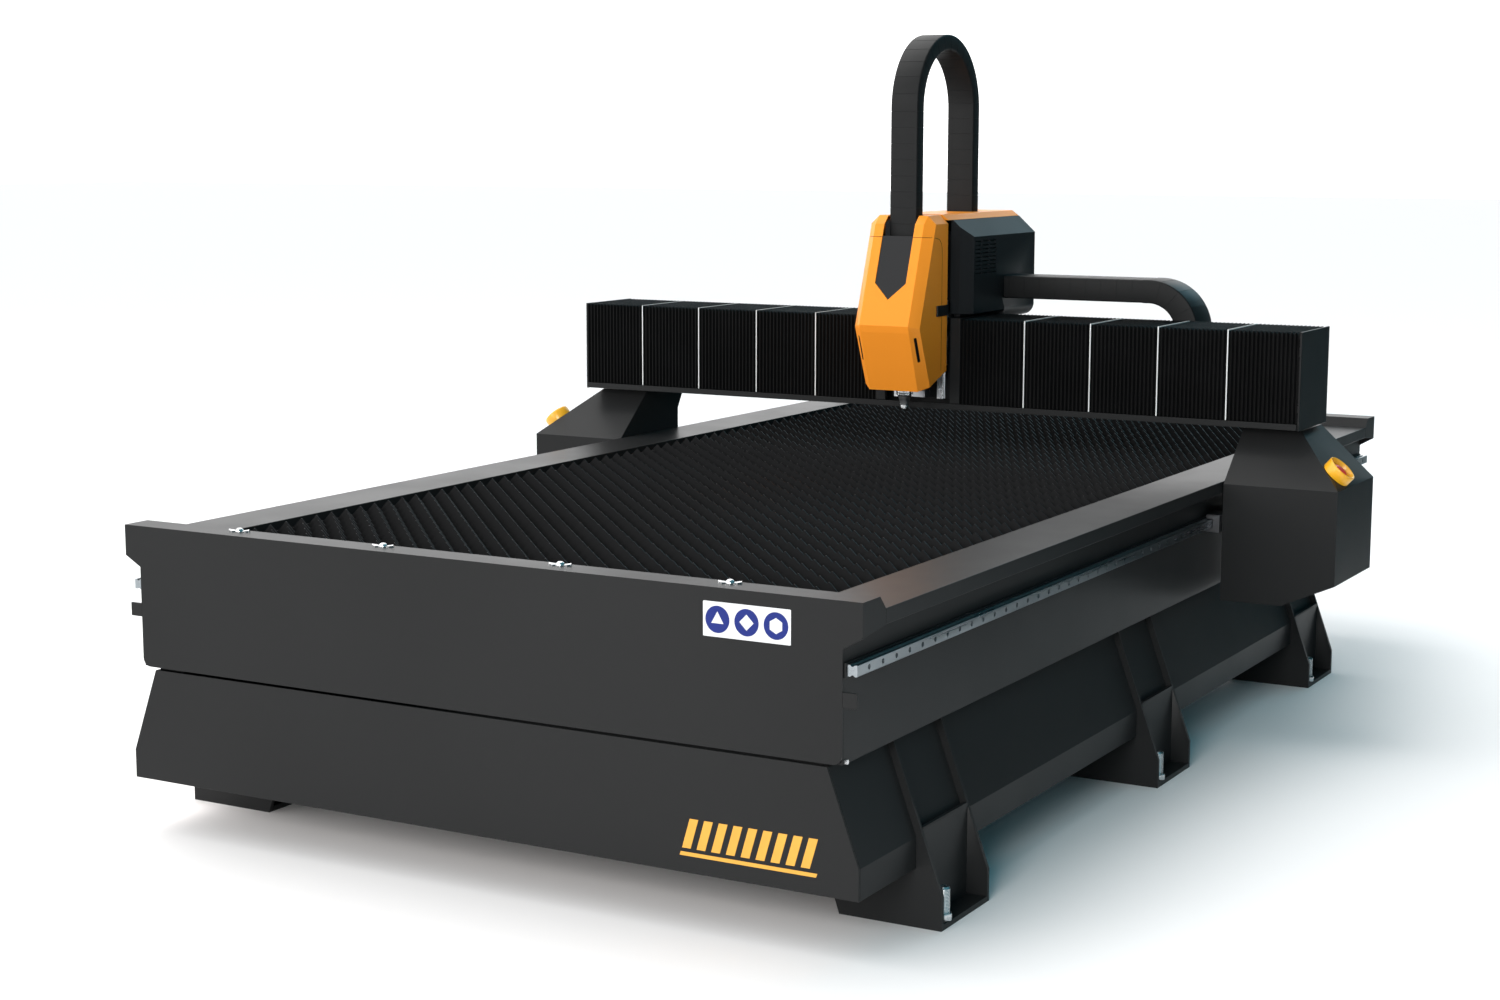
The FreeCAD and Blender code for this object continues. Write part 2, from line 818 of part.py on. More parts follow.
plate_face = beam_front - 36.0 - carriage_plate_thickness


def z_rails():
    made = []
    for side in (-1, 1):
        x = head_x + side * z_rail_offset
        outline = [(x + w, at(plate_face) - h) for w, h in rail_section(z_rail_width, z_rail_height)]
        rail = prism_z(outline, carriage_bottom, z_rail_top)
        mouth = at(plate_face) - z_rail_height - 1.0
        sinks = [
            rod(x, mouth, carriage_bottom + 28.0 + i * 60.0, 4.75, 9.0, V(0, 1, 0)) for i in range(6)
        ]
        made.append(rail.cut(Part.makeCompound(sinks)))
    return made


def x_motor():
    half = gearbox_square / 2
    y = at(x_pinion_y)
    gearbox = box(head_x - half, head_x + half, y - half, y + half, box_floor, box_floor + gearbox_length)
    gearbox = gearbox.cut(rod(head_x, y, box_floor - 1.0, 10.0 + shaft_fit, 32.0))
    body_half = motor_square / 2
    z0 = box_floor + gearbox_length
    body = box(head_x - body_half, head_x + body_half, y - body_half, y + body_half, z0, z0 + 110.0)
    body = body.makeChamfer(9.0, [e for e in body.Edges if abs(e.BoundBox.ZLength - 110.0) < 0.01])
    return [gearbox, body]


def x_pinion():
    y = at(x_pinion_y)
    outline = [(head_x + u, y - v) for u, v in pinion_outline()]
    gear = prism_z(outline, beam_crown + 1.5, beam_crown + x_rack_height - 1.5)
    shaft = rod(head_x, y, beam_crown + 1.5, 10.0, box_floor + 25.0 - beam_crown)
    return fuse([gear, shaft])


def rear_box_outline(inset):
    half = box_half - inset
    top_half = box_top_half - inset * 0.5
    shoulder = box_shoulder - inset * 0.3
    return [
        (head_x - half, box_floor + inset), (head_x + half, box_floor + inset),
        (head_x + half, shoulder), (head_x + top_half, box_top - inset),
        (head_x - top_half, box_top - inset), (head_x - half, shoulder),
    ]


def rear_box_solid(inset):
    half = box_half - inset
    y0 = at(box_front) + inset
    y1 = at(box_back) - inset
    body = prism_y(rear_box_outline(inset), y0, y1)
    corner = box_corner - inset * 0.4
    for side in (-1, 1):
        edge = head_x + side * half
        wedge = prism_z(
            [
                (edge + side, y0 - 1.0), (edge - side * (corner + 1.0), y0 - 1.0),
                (edge + side, y0 + corner + 1.0),
            ],
            box_floor - 1.0, box_top + 1.0,
        )
        body = body.cut(wedge)
    drop_front = at(gantry_back + 9.0) + inset
    bottom = box_floor - box_drop + inset
    drop = box(head_x - half, head_x + half, drop_front, y1, bottom, box_floor + 2 * box_wall)
    body = body.fuse(drop)
    radius = box_round - inset
    for side in (-1, 1):
        edge = head_x + side * (half + 1.0)
        centre = head_x + side * (half - radius)
        corner_box = box(
            min(edge, centre), max(edge, centre), drop_front, y1 + 1.0, bottom - 1.0, bottom + radius
        )
        round_bar = rod(centre, drop_front, bottom + radius, radius, y1 + 2.0 - drop_front, V(0, 1, 0))
        body = body.cut(corner_box.cut(round_bar))
    return body


def chain_leg_hole(y0, z0, z1, clearance):
    return box(
        head_x - chain_half - clearance, head_x + chain_half + clearance, at(y0) - clearance,
        at(y0) + chain_thickness + clearance, z0, z1,
    )


chain_rear = chain_front + 2 * chain_radius - chain_thickness


def rear_box():
    shell = rear_box_solid(0).cut(rear_box_solid(box_wall))
    cuts = [
        box(
            head_x - 110.3, head_x + 110.3, at(box_front) + 5.0, at(box_back) - 19.7, box_floor - 11.0,
            box_floor + box_wall + 1.0,
        ),
        box(
            head_x - 94.0, head_x + 94.0, at(box_front) - 1.0, at(box_front) + 6.0, box_floor - 1.0,
            box_top - box_wall,
        ),
        chain_leg_hole(chain_rear, box_top - 10.0, box_top + 10.0, 3.0),
    ]
    for side in (-1, 1):
        x0 = head_x + side * box_half
        for column in range(3):
            for row in range(9):
                y = at(box_front) + box_corner + 8.0 + column * 51.0
                z = box_shoulder - 12.0 - row * 11.3
                cuts.append(box(x0 - 6.0, x0 + 6.0, y, y + 42.0, z - 4.0, z))
    return shell.cut(Part.makeCompound(cuts))


def rear_cap():
    y0 = at(cover_back) + 3.0
    y1 = at(box_back)
    outer = prism_y(
        [
            (head_x - box_top_half, box_top), (head_x + box_top_half, box_top),
            (head_x + cap_strip_half, cap_strip_top), (head_x - cap_strip_half, cap_strip_top),
        ],
        y0, y1,
    )
    hollow = box(
        head_x - cap_strip_half + 6.0, head_x + cap_strip_half - 6.0, y0 + 4.0, y1 - 4.0, box_top,
        cap_strip_top - 4.0,
    )
    return outer.cut(hollow).cut(chain_leg_hole(chain_rear, box_top - 1.0, cap_strip_top + 1.0, 3.0))


def screw_supports():
    """Bearing blocks at the two ends of the lift screw, and the plate that carries its motor."""
    made = []
    for z0, height in ((carriage_bottom + 3.0, 18.0), (1155.0, 25.0)):
        body = box(head_x - 25.0, head_x + 25.0, at(screw_y) - 13.0, at(plate_face), z0, z0 + height)
        made.append(body.cut(rod(head_x, at(screw_y), z0 - 1.0, screw_radius + shaft_fit, height + 2.0)))
    shelf = box(
        head_x - 32.5, head_x + 32.5, at(screw_y) - 28.0, at(plate_face) + carriage_plate_thickness,
        z_rail_top + 1.0, z_rail_top + 7.0,
    )
    made.append(shelf.cut(rod(head_x, at(screw_y), z_rail_top, 15.0, 8.0)))
    return made


def z_motor():
    half = 28.25
    z0 = z_rail_top + 7.0
    body = box(head_x - half, head_x + half, at(screw_y) - half, at(screw_y) + half, z0, z0 + 105.0)
    body = body.makeChamfer(5.0, [e for e in body.Edges if abs(e.BoundBox.ZLength - 105.0) < 0.01])
    return body


def lift_screw():
    foot = carriage_bottom + 3.0
    screw = rod(head_x, at(screw_y), foot, screw_radius, z_rail_top + 6.7 - foot)
    coupling = rod(head_x, at(screw_y), 1186.0, 14.0, 28.0)
    return fuse([screw, coupling])


def arched_band(centre_u, centre_v, outer, inner, first_end, last_end):
    """A half-round band, arch upwards, with a straight leg down to first_end and one to last_end."""
    left = centre_u - outer
    right = centre_u + outer
    inner_left = centre_u - inner
    inner_right = centre_u + inner
    over = V(centre_u, centre_v + outer)
    under = V(centre_u, centre_v + inner)
    edges = [
        Part.Arc(V(left, centre_v), over, V(right, centre_v)).toShape(),
        Part.makeLine(V(right, centre_v), V(right, last_end)),
        Part.makeLine(V(right, last_end), V(inner_right, last_end)),
        Part.makeLine(V(inner_right, last_end), V(inner_right, centre_v)),
        Part.Arc(V(inner_right, centre_v), under, V(inner_left, centre_v)).toShape(),
        Part.makeLine(V(inner_left, centre_v), V(inner_left, first_end)),
        Part.makeLine(V(inner_left, first_end), V(left, first_end)),
        Part.makeLine(V(left, first_end), V(left, centre_v)),
    ]
    return Part.Face(Part.Wire(edges))


def lift_chain():
    centre = at(chain_front) + chain_radius
    face = arched_band(
        centre, chain_centre_z, chain_radius, chain_radius - chain_thickness, chain_front_end,
        chain_rear_end,
    )
    band = face.extrude(V(0, 0, 2 * chain_half))
    # (u, v, w) becomes (y, z, x)
    turn = FreeCAD.Matrix(0, 0, 1, head_x - chain_half, 1, 0, 0, 0, 0, 1, 0, 0, 0, 0, 0, 1)
    return band.transformGeometry(turn)


def x_chain_loop():
    outer = x_chain_radius
    inner = outer - x_chain_thickness
    cx = x_chain_centre_x
    cz = x_chain_centre_z
    y0 = at(x_chain_front)
    edges = [
        Part.Arc(V(cx, y0, cz + outer), V(cx + outer, y0, cz), V(cx, y0, cz - outer)).toShape(),
        Part.makeLine(V(cx, y0, cz - outer), V(cx - x_chain_leg, y0, cz - outer)),
        Part.makeLine(V(cx - x_chain_leg, y0, cz - outer), V(cx - x_chain_leg, y0, cz - inner)),
        Part.makeLine(V(cx - x_chain_leg, y0, cz - inner), V(cx, y0, cz - inner)),
        Part.Arc(V(cx, y0, cz - inner), V(cx + inner, y0, cz), V(cx, y0, cz + inner)).toShape(),
        Part.makeLine(V(cx, y0, cz + inner), V(cx, y0, cz + outer)),
    ]
    return Part.Face(Part.Wire(edges)).extrude(V(0, x_chain_width, 0))


def x_chain_run():
    top = x_chain_centre_z + x_chain_radius
    return box(
        head_x + box_half + 0.3, x_chain_centre_x - 0.3,
        at(x_chain_front), at(x_chain_front) + x_chain_width, top - x_chain_thickness, top,
    )


# ---------------------------------------------------------------- head
def cover_solid(inset):
    """The faceted hood; with an inset it is the space inside, run out past the open back and bottom."""
    half = cover_half - inset
    front_half = cover_front_half - inset * 0.5
    back = at(cover_back) + (10.0 if inset else 0.0)
    shift = inset * 1.05
    drop = 30.0 if inset else 0.0
    points = []
    for s in (-1, 1):
        points += [
            V(head_x + s * front_half, at(2090.0) + shift * 0.4, 1378.5 - inset),
            V(head_x + s * front_half, at(2064.0) + shift, 1355.0 - inset * 0.6),
            V(head_x + s * front_half, at(1968.5) + shift, 1077.5),
            V(head_x + s * front_half, at(1973.5) + shift, 1058.0),
            V(head_x + s * front_half, at(2036.0) + shift + drop * 0.37, 891.0 - drop),
            V(head_x + s * half, at(2090.0) + shift, 1355.0 - inset * 0.6),
            V(head_x + s * half, at(1991.5) + shift, 1070.5),
            V(head_x + s * half, at(2062.0) + shift + drop * 0.42, 903.0 - drop),
            V(head_x + s * half, back, 941.0 - drop),
            V(head_x + s * half, back, 1355.0 - inset * 0.6),
            V(head_x + s * front_half, back, 1378.5 - inset),
        ]
    n = 11
    faces = [
        (0, 1, 1 + n, n), (1, 2, 2 + n, 1 + n), (2, 3, 3 + n, 2 + n), (3, 4, 4 + n, 3 + n),
        (0, n, 10 + n, 10), (4, 7, 7 + n, 4 + n), (7, 8, 8 + n, 7 + n), (8, 9, 10, 10 + n, 9 + n, 8 + n),
    ]
    for k in (0, n):
        faces += [
            (0 + k, 5 + k, 1 + k), (1 + k, 5 + k, 6 + k, 2 + k), (2 + k, 6 + k, 3 + k),
            (3 + k, 6 + k, 7 + k, 4 + k), (0 + k, 10 + k, 9 + k, 5 + k), (5 + k, 9 + k, 8 + k, 7 + k, 6 + k),
        ]
    return polyhedron(points, faces)


chevron_top = 1322.0
chevron_side = 1193.0
chevron_tip = 1148.0
chevron_half = 47.5


def chevron_outline(gap, top):
    half = chevron_half - gap
    return [
        (head_x - half, top), (head_x - half, chevron_side + gap / 2), (head_x, chevron_tip + gap),
        (head_x + half, chevron_side + gap / 2), (head_x + half, top),
    ]


def head_cover():
    shell = cover_solid(0).cut(cover_solid(cover_wall))
    slot = prism_y(chevron_outline(0, cap_strip_top + 20.0), at(1960.0), at(2137.0))
    return shell.cut(slot)


def chevron_panel():
    """The dark plate that fills the hood's front slot under the chain, set back from the face."""
    run = (2064.0 - 1968.5) / (1355.0 - 1077.5)
    low = chevron_tip - 10.0
    low_y = at(1968.5) + run * (low - 1077.5) + 2.0
    top_y = at(1968.5) + run * (chevron_top - 1077.5) + 2.0
    slab = prism_x(
        [(low_y, low), (top_y, chevron_top), (top_y + 3.0, chevron_top), (low_y + 3.0, low)],
        head_x - 60.0, head_x + 60.0,
    )
    return slab.common(prism_y(chevron_outline(0.2, chevron_top), at(1950.0), at(2137.0)))


z_plate_top = 1150.0
z_plate_bottom = 935.0


def z_plate():
    face = at(plate_face) - 30.0
    plate = box(head_x - 93.0, head_x + 93.0, face - 20.0 + 5.0, face, z_plate_bottom, z_plate_top)
    ears = [
        box(
            head_x + s * 94.5 - 1.5, head_x + s * 94.5 + 1.5, at(spindle_y) - 10.0, face,
            z_plate_bottom + 20.0, z_plate_top - 10.0,
        )
        for s in (-1, 1)
    ]
    anchor_y = at(chain_front) + chain_thickness + 0.5
    anchor = box(head_x - 30.0, head_x + 30.0, anchor_y, anchor_y + 6.0, z_plate_top - 10.0, 1310.0)
    arm = box(head_x - 30.0, head_x + 30.0, anchor_y, face - 10.0, z_plate_top - 10.0, z_plate_top)
    return fuse([plate, anchor, arm] + ears)


def z_bearing_blocks():
    face = at(plate_face) - 30.0
    made = []
    for side in (-1, 1):
        x = head_x + side * z_rail_offset
        for z in (992.0, 1068.0):
            body = box(x - 22.0, x + 22.0, face, at(plate_face) - 4.5, z, z + 66.0)
            channel = box(
                x - z_rail_width / 2 - block_gap, x + z_rail_width / 2 + block_gap,
                at(plate_face) - z_rail_height - block_gap, at(plate_face), z - 1.0, z + 67.0,
            )
            made.append(body.cut(channel))
    return made


def screw_nut():
    face = at(plate_face) - 30.0
    body = box(head_x - 20.0, head_x + 20.0, face, at(plate_face) - 1.0, 1015.0, 1055.0)
    return body.cut(rod(head_x, at(screw_y), 1010.0, screw_radius + shaft_fit, 50.0))


def spindle_clamp():
    face = at(plate_face) - 30.0 - 15.0
    body = box(head_x - 62.0, head_x + 62.0, at(spindle_y) - 20.0, face, 945.0, 1095.0)
    return body.cut(rod(head_x, at(spindle_y), 940.0, spindle_radius + 0.1, 160.0))


def spindle_motor():
    body = rod(head_x, at(spindle_y), 905.0, spindle_radius, 235.0)
    nose = rod(head_x, at(spindle_y), 889.0, 30.0, 16.0)
    bore = rod(head_x, at(spindle_y), 880.0, spindle_shaft_radius + shaft_fit, 240.0)
    return fuse([body, nose]).cut(bore)


def spindle_rotor():
    shaft = rod(head_x, at(spindle_y), 850.0, spindle_shaft_radius, 265.0)
    collar = rod(head_x, at(spindle_y), 872.0, 24.0, 14.0)
    cone = Part.makeCone(13.0, 21.0, 27.0, V(head_x, at(spindle_y), 845.0), V(0, 0, 1))
    return fuse([shaft, collar, cone])


def cutter():
    return rod(head_x, at(spindle_y), 831.0, 11.5, 13.7)


def hood_latches():
    made = []
    for side in (-1, 1):
        x0 = head_x + side * cover_half
        x1 = x0 + side * 5.0
        made.append(box(min(x0, x1), max(x0, x1), at(2097.0), at(cover_back) - 1.0, 1098.0, 1128.0))
    return made


# ---------------------------------------------------------------- write the parts
left_sections, left_stiffeners = bellows_side(-gantry_half + end_plate, head_x - frame_outer)
right_sections, right_stiffeners = bellows_side(head_x + frame_outer, gantry_half - end_plate)

right_pinion = y_pinion()
right_button = stop_button()
right_housing = housing()

parts = {
    "front_panel": front_panel(),
    "rear_panel": rear_panel(),
    "side_beams": side_beams(),
    "support_slats": support_slats(),
    "slat_carriers": slat_carriers(),
    "cross_beams": cross_beams(),
    "waste_tray": waste_tray(),
    "tray_end_panels": tray_end_panels(),
    "tray_seals": tray_seals(),
    "leg_frames": leg_frames(),
    "levelling_bolts": levelling_bolts(),
    "y_rails": y_rails(),
    "y_racks": y_racks(),
    "end_tabs": end_tabs(),
    "rim_clips": rim_clips(),
    "side_bolts": side_bolts(),
    "gantry_side_plates": side_plates(),
    "gantry_beam": gantry_beam(),
    "beam_end_plates": end_plates(),
    "housing_right": right_housing,
    "housing_left": mirrored(right_housing),
    "stop_guards": both_sides(stop_guard()),
    "stop_button_right": right_button,
    "stop_button_left": mirrored(right_button),
    "y_bearing_blocks": y_bearing_blocks(),
    "y_gearboxes": y_gearboxes(),
    "y_motors": y_motors(),
    "y_pinion_right": right_pinion,
    "y_pinion_left": mirrored(right_pinion),
    "x_rails": x_rails(),
    "x_rack": x_rack(),
    "bellows_left": left_sections,
    "bellows_right": right_sections,
    "bellows_stiffeners": left_stiffeners + right_stiffeners,
    "bellows_tracks": bellows_tracks(),
    "chain_tray": chain_tray(),
    "carriage_plate": carriage_plate(),
    "bellows_frames": bellows_frames(),
    "x_bearing_blocks": x_bearing_blocks(),
    "z_rails": z_rails(),
    "x_motor": x_motor(),
    "x_pinion": x_pinion(),
    "rear_box": rear_box(),
    "rear_cap": rear_cap(),
    "screw_supports": screw_supports(),
    "z_motor": z_motor(),
    "lift_screw": lift_screw(),
    "lift_chain": lift_chain(),
    "x_chain_loop": x_chain_loop(),
    "x_chain_run": x_chain_run(),
    "head_cover": head_cover(),
    "chevron_panel": chevron_panel(),
    "hood_latches": hood_latches(),
    "z_plate": z_plate(),
    "z_bearing_blocks": z_bearing_blocks(),
    "screw_nut": screw_nut(),
    "spindle_clamp": spindle_clamp(),
    "spindle_motor": spindle_motor(),
    "spindle_rotor": spindle_rotor(),
    "cutter": cutter(),
}
for part_name, part_shape in parts.items():
    save(part_name, part_shape)
print(len(parts), "parts written")
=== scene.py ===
"""Looks of a large gantry router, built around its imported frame. Metres, +Z up, front towards -Y."""

import json
import math

import bmesh
import bpy
import numpy as np
from mathutils import Matrix, Vector


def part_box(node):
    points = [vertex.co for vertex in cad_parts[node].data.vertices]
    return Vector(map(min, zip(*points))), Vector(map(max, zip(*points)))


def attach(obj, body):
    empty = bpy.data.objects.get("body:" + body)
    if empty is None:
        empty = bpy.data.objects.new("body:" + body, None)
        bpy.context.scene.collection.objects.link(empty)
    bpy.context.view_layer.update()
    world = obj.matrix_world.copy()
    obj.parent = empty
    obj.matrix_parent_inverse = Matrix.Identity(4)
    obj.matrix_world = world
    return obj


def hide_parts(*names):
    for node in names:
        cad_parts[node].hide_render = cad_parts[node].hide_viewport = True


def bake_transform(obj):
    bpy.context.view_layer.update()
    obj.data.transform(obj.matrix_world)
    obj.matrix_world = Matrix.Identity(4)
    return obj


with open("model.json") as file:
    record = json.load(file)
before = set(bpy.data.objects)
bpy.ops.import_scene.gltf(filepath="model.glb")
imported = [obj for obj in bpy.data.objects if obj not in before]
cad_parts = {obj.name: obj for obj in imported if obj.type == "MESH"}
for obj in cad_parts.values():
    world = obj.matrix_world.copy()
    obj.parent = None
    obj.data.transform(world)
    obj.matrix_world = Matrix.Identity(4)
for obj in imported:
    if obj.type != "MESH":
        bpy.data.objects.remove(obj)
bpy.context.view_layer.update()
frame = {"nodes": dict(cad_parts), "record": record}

# ---------------------------------------------------------------- places taken from the frame
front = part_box("front_panel")[0][1]
head_low, head_high = [np.array(p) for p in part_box("head_cover")]
head_x = (head_low[0] + head_high[0]) / 2

# Places along the bed, as the frame has them, from its front or its middle.
bolt_places = (0.300, 1.561, 2.831)
clip_places = (-0.650, -0.245, 0.216, 0.622)
clip_inset = 0.054
rail_height = 0.580
first_rail_hole = 0.061
rail_hole_pitch = 0.060
rail_holes = 59
housing_top_half, housing_top = 1.108, 0.819
housing_half, housing_shoulder = 1.256, 0.685
stop_place, stop_along_slope = 2.198, 0.154
spindle_place = 2.108
lengths_a_side = 5


# ---------------------------------------------------------------- finishes
def finish(name, colour, roughness, metallic=0.0, specular=0.5, coat=0.0, coat_roughness=0.1):
    """A Principled material with plain sockets; returns it with its tree and shader."""
    material = bpy.data.materials.new(name)
    material.use_nodes = True
    shader = material.node_tree.nodes["Principled BSDF"]
    shader.inputs["Base Color"].default_value = (*colour, 1)
    shader.inputs["Roughness"].default_value = roughness
    shader.inputs["Metallic"].default_value = metallic
    shader.inputs["Specular IOR Level"].default_value = specular
    shader.inputs["Coat Weight"].default_value = coat
    shader.inputs["Coat Roughness"].default_value = coat_roughness
    return material, material.node_tree, shader


def noise(tree, scale, detail=3.0, stretch=(1, 1, 1)):
    """Noise on Object coordinates, squeezed along any axis by stretch."""
    place = tree.nodes.new("ShaderNodeTexCoord")
    mapping = tree.nodes.new("ShaderNodeMapping")
    mapping.inputs["Scale"].default_value = stretch
    texture = tree.nodes.new("ShaderNodeTexNoise")
    texture.inputs["Scale"].default_value = scale
    texture.inputs["Detail"].default_value = detail
    tree.links.new(place.outputs["Object"], mapping.inputs["Vector"])
    tree.links.new(mapping.outputs["Vector"], texture.inputs["Vector"])
    return texture.outputs["Fac"]


def spread(tree, value, low, high, to_low, to_high):
    """The stretch low..high of a value mapped smoothly to to_low..to_high."""
    node = tree.nodes.new("ShaderNodeMapRange")
    node.interpolation_type = "SMOOTHSTEP"
    node.inputs["From Min"].default_value = low
    node.inputs["From Max"].default_value = high
    node.inputs["To Min"].default_value = to_low
    node.inputs["To Max"].default_value = to_high
    tree.links.new(value, node.inputs["Value"])
    return node.outputs["Result"]


def shade_between(tree, value, first, second):
    """A colour that goes from first to second with the value."""
    node = tree.nodes.new("ShaderNodeMix")
    node.data_type = "RGBA"
    node.inputs["A"].default_value = (*first, 1)
    node.inputs["B"].default_value = (*second, 1)
    tree.links.new(value, node.inputs["Factor"])
    return node.outputs["Result"]


def relief(tree, shader, height, distance):
    """Bumps of a given depth from a height value."""
    node = tree.nodes.new("ShaderNodeBump")
    node.inputs["Distance"].default_value = distance
    node.inputs["Strength"].default_value = 1.0
    tree.links.new(height, node.inputs["Height"])
    tree.links.new(node.outputs["Normal"], shader.inputs["Normal"])


def powder_coat(name, colour, roughness, specular=0.08, texture=0.00003, drift=0.05):
    """Baked paint: a slow drift of tone, a little of gloss, and a fine orange-peel skin."""
    material, tree, shader = finish(name, colour, roughness, specular=specular)
    cloud = spread(tree, noise(tree, 1.6, 1.0), 0.3, 0.7, 0.0, 1.0)
    darker = [c * (1 - drift) for c in colour]
    lighter = [min(1.0, c * (1 + drift)) for c in colour]
    tree.links.new(shade_between(tree, cloud, darker, lighter), shader.inputs["Base Color"])
    gloss = spread(tree, noise(tree, 5.0, 2.0), 0.25, 0.75, roughness - 0.02, roughness + 0.02)
    tree.links.new(gloss, shader.inputs["Roughness"])
    relief(tree, shader, noise(tree, 420.0, 2.0), texture)
    return material


def ground_metal(name, colour, roughness, stretch):
    """Ground steel or alloy: long fine scratches along one axis."""
    material, tree, shader = finish(name, colour, roughness, metallic=1.0)
    scratch = noise(tree, 60.0, 4.0, stretch)
    tree.links.new(
        shade_between(tree, scratch, [c * 0.78 for c in colour], [min(1.0, c * 1.15) for c in colour]),
        shader.inputs["Base Color"],
    )
    dullness = spread(tree, scratch, 0.2, 0.8, roughness - 0.08, roughness + 0.12)
    tree.links.new(dullness, shader.inputs["Roughness"])
    relief(tree, shader, scratch, 0.00004)
    return material


def moulded(name, colour, roughness, specular=0.5, grain=900.0, coat=0.0):
    """Moulded plastic with a fine spark-eroded grain."""
    material, tree, shader = finish(name, colour, roughness, specular=specular, coat=coat)
    cloud = noise(tree, 30.0, 3.0)
    tree.links.new(
        shade_between(tree, cloud, [c * 0.9 for c in colour], [min(1.0, c * 1.08) for c in colour]),
        shader.inputs["Base Color"],
    )
    relief(tree, shader, noise(tree, grain, 2.0), 0.00003)
    return material


def coated_cloth(name, colour):
    """Coated bellows cloth: a faint weave of two crossed waves under a dull skin."""
    material, tree, shader = finish(name, colour, 0.62, specular=0.12)
    place = tree.nodes.new("ShaderNodeTexCoord")
    heights = []
    for direction in ("X", "Z"):
        wave = tree.nodes.new("ShaderNodeTexWave")
        wave.bands_direction = direction
        wave.inputs["Scale"].default_value = 420.0
        wave.inputs["Distortion"].default_value = 0.4
        tree.links.new(place.outputs["Object"], wave.inputs["Vector"])
        heights.append(wave.outputs["Fac"])
    crossed = tree.nodes.new("ShaderNodeMath")
    crossed.operation = "MULTIPLY"
    tree.links.new(heights[0], crossed.inputs[0])
    tree.links.new(heights[1], crossed.inputs[1])
    dust = spread(tree, noise(tree, 7.0, 5.0), 0.35, 0.8, 0.0, 1.0)
    tree.links.new(
        shade_between(tree, dust, [c * 0.7 for c in colour], [c * 1.5 for c in colour]),
        shader.inputs["Base Color"],
    )
    relief(tree, shader, crossed.outputs["Value"], 0.00006)
    return material


frame_paint = powder_coat("graphite_paint", (0.0175, 0.0177, 0.018), 0.36)
box_paint = powder_coat("box_paint", (0.014, 0.0152, 0.0165), 0.34, specular=0.04)
slat_paint = powder_coat("slat_paint", (0.012, 0.012, 0.0125), 0.42)
chevron_paint = powder_coat("chevron_paint", (0.025, 0.025, 0.026), 0.42)
inner_paint = powder_coat("inner_paint", (0.012, 0.012, 0.013), 0.40)
hood_paint = powder_coat("hood_paint", (0.84, 0.272, 0.024), 0.38, specular=0.12, drift=0.02)
lane_steel_y = ground_metal("lane_steel_y", (0.30, 0.33, 0.35), 0.30, (1.0, 0.03, 1.0))
lane_steel_x = ground_metal("lane_steel_x", (0.40, 0.42, 0.44), 0.30, (0.03, 1.0, 1.0))
lane_steel_z = ground_metal("lane_steel_z", (0.62, 0.63, 0.65), 0.26, (1.0, 1.0, 0.03))
bright_steel = ground_metal("bright_steel", (0.72, 0.73, 0.74), 0.22, (1.0, 1.0, 0.3))
dark_steel = ground_metal("dark_steel", (0.10, 0.10, 0.105), 0.45, (1.0, 0.2, 1.0))
milled_alloy = ground_metal("milled_alloy", (0.55, 0.56, 0.58), 0.35, (0.2, 1.0, 1.0))
bellows_cloth = coated_cloth("bellows_cloth", (0.0022, 0.0022, 0.0024))
strip_white = moulded("strip_white", (0.72, 0.72, 0.71), 0.45)
chain_plastic = moulded("chain_plastic", (0.011, 0.0112, 0.0115), 0.45, specular=0.12, grain=500.0)
black_plastic = moulded("black_plastic", (0.008, 0.008, 0.009), 0.40)
guard_yellow = moulded("guard_yellow", (0.82, 0.40, 0.015), 0.35, coat=0.2)
button_red = moulded("button_red", (0.74, 0.018, 0.022), 0.30, coat=0.2)
# Black for the dark seam lines, and as painted shade for the vent backing and the hood slots.
seam_and_shade_black = moulded("seam_and_shade_black", (0.004, 0.004, 0.004), 0.6, specular=0.1)
seal_rubber = moulded("seal_rubber", (0.006, 0.006, 0.006), 0.75, specular=0.2)
mark_yellow = moulded("mark_yellow", (0.66, 0.33, 0.055), 0.5, specular=0.2)
label_white = moulded("label_white", (0.60, 0.60, 0.61), 0.5, specular=0.2)
label_blue = moulded("label_blue", (0.012, 0.022, 0.15), 0.5, specular=0.15)


# ---------------------------------------------------------------- surfaces
def grid_quads(rows, columns, wrap_rows=False, wrap_columns=False):
    """The quads between neighbouring points of a rows by columns grid, wrapped round where asked."""
    i, j = np.meshgrid(
        np.arange(rows if wrap_rows else rows - 1), np.arange(columns if wrap_columns else columns - 1),
        indexing="ij",
    )
    below = (i + 1) % rows
    beside = (j + 1) % columns
    corners = [i * columns + j, below * columns + j, below * columns + beside, i * columns + beside]
    return np.stack(corners, -1)


def loft(sections, ring=False):
    """A skin through closed sections of shape (m, n, 3), with flat ends unless it is a ring."""
    m, n, _ = sections.shape
    faces = grid_quads(m, n, ring, True).reshape(-1, 4).tolist()
    if not ring:
        faces += [list(range(n)), list(range((m - 1) * n, m * n))]
    return sections.reshape(-1, 3), faces


def open_sheet(points):
    """An open skin through a grid of points of shape (m, n, 3)."""
    m, n, _ = points.shape
    return points.reshape(-1, 3), grid_quads(m, n).reshape(-1, 4).tolist()


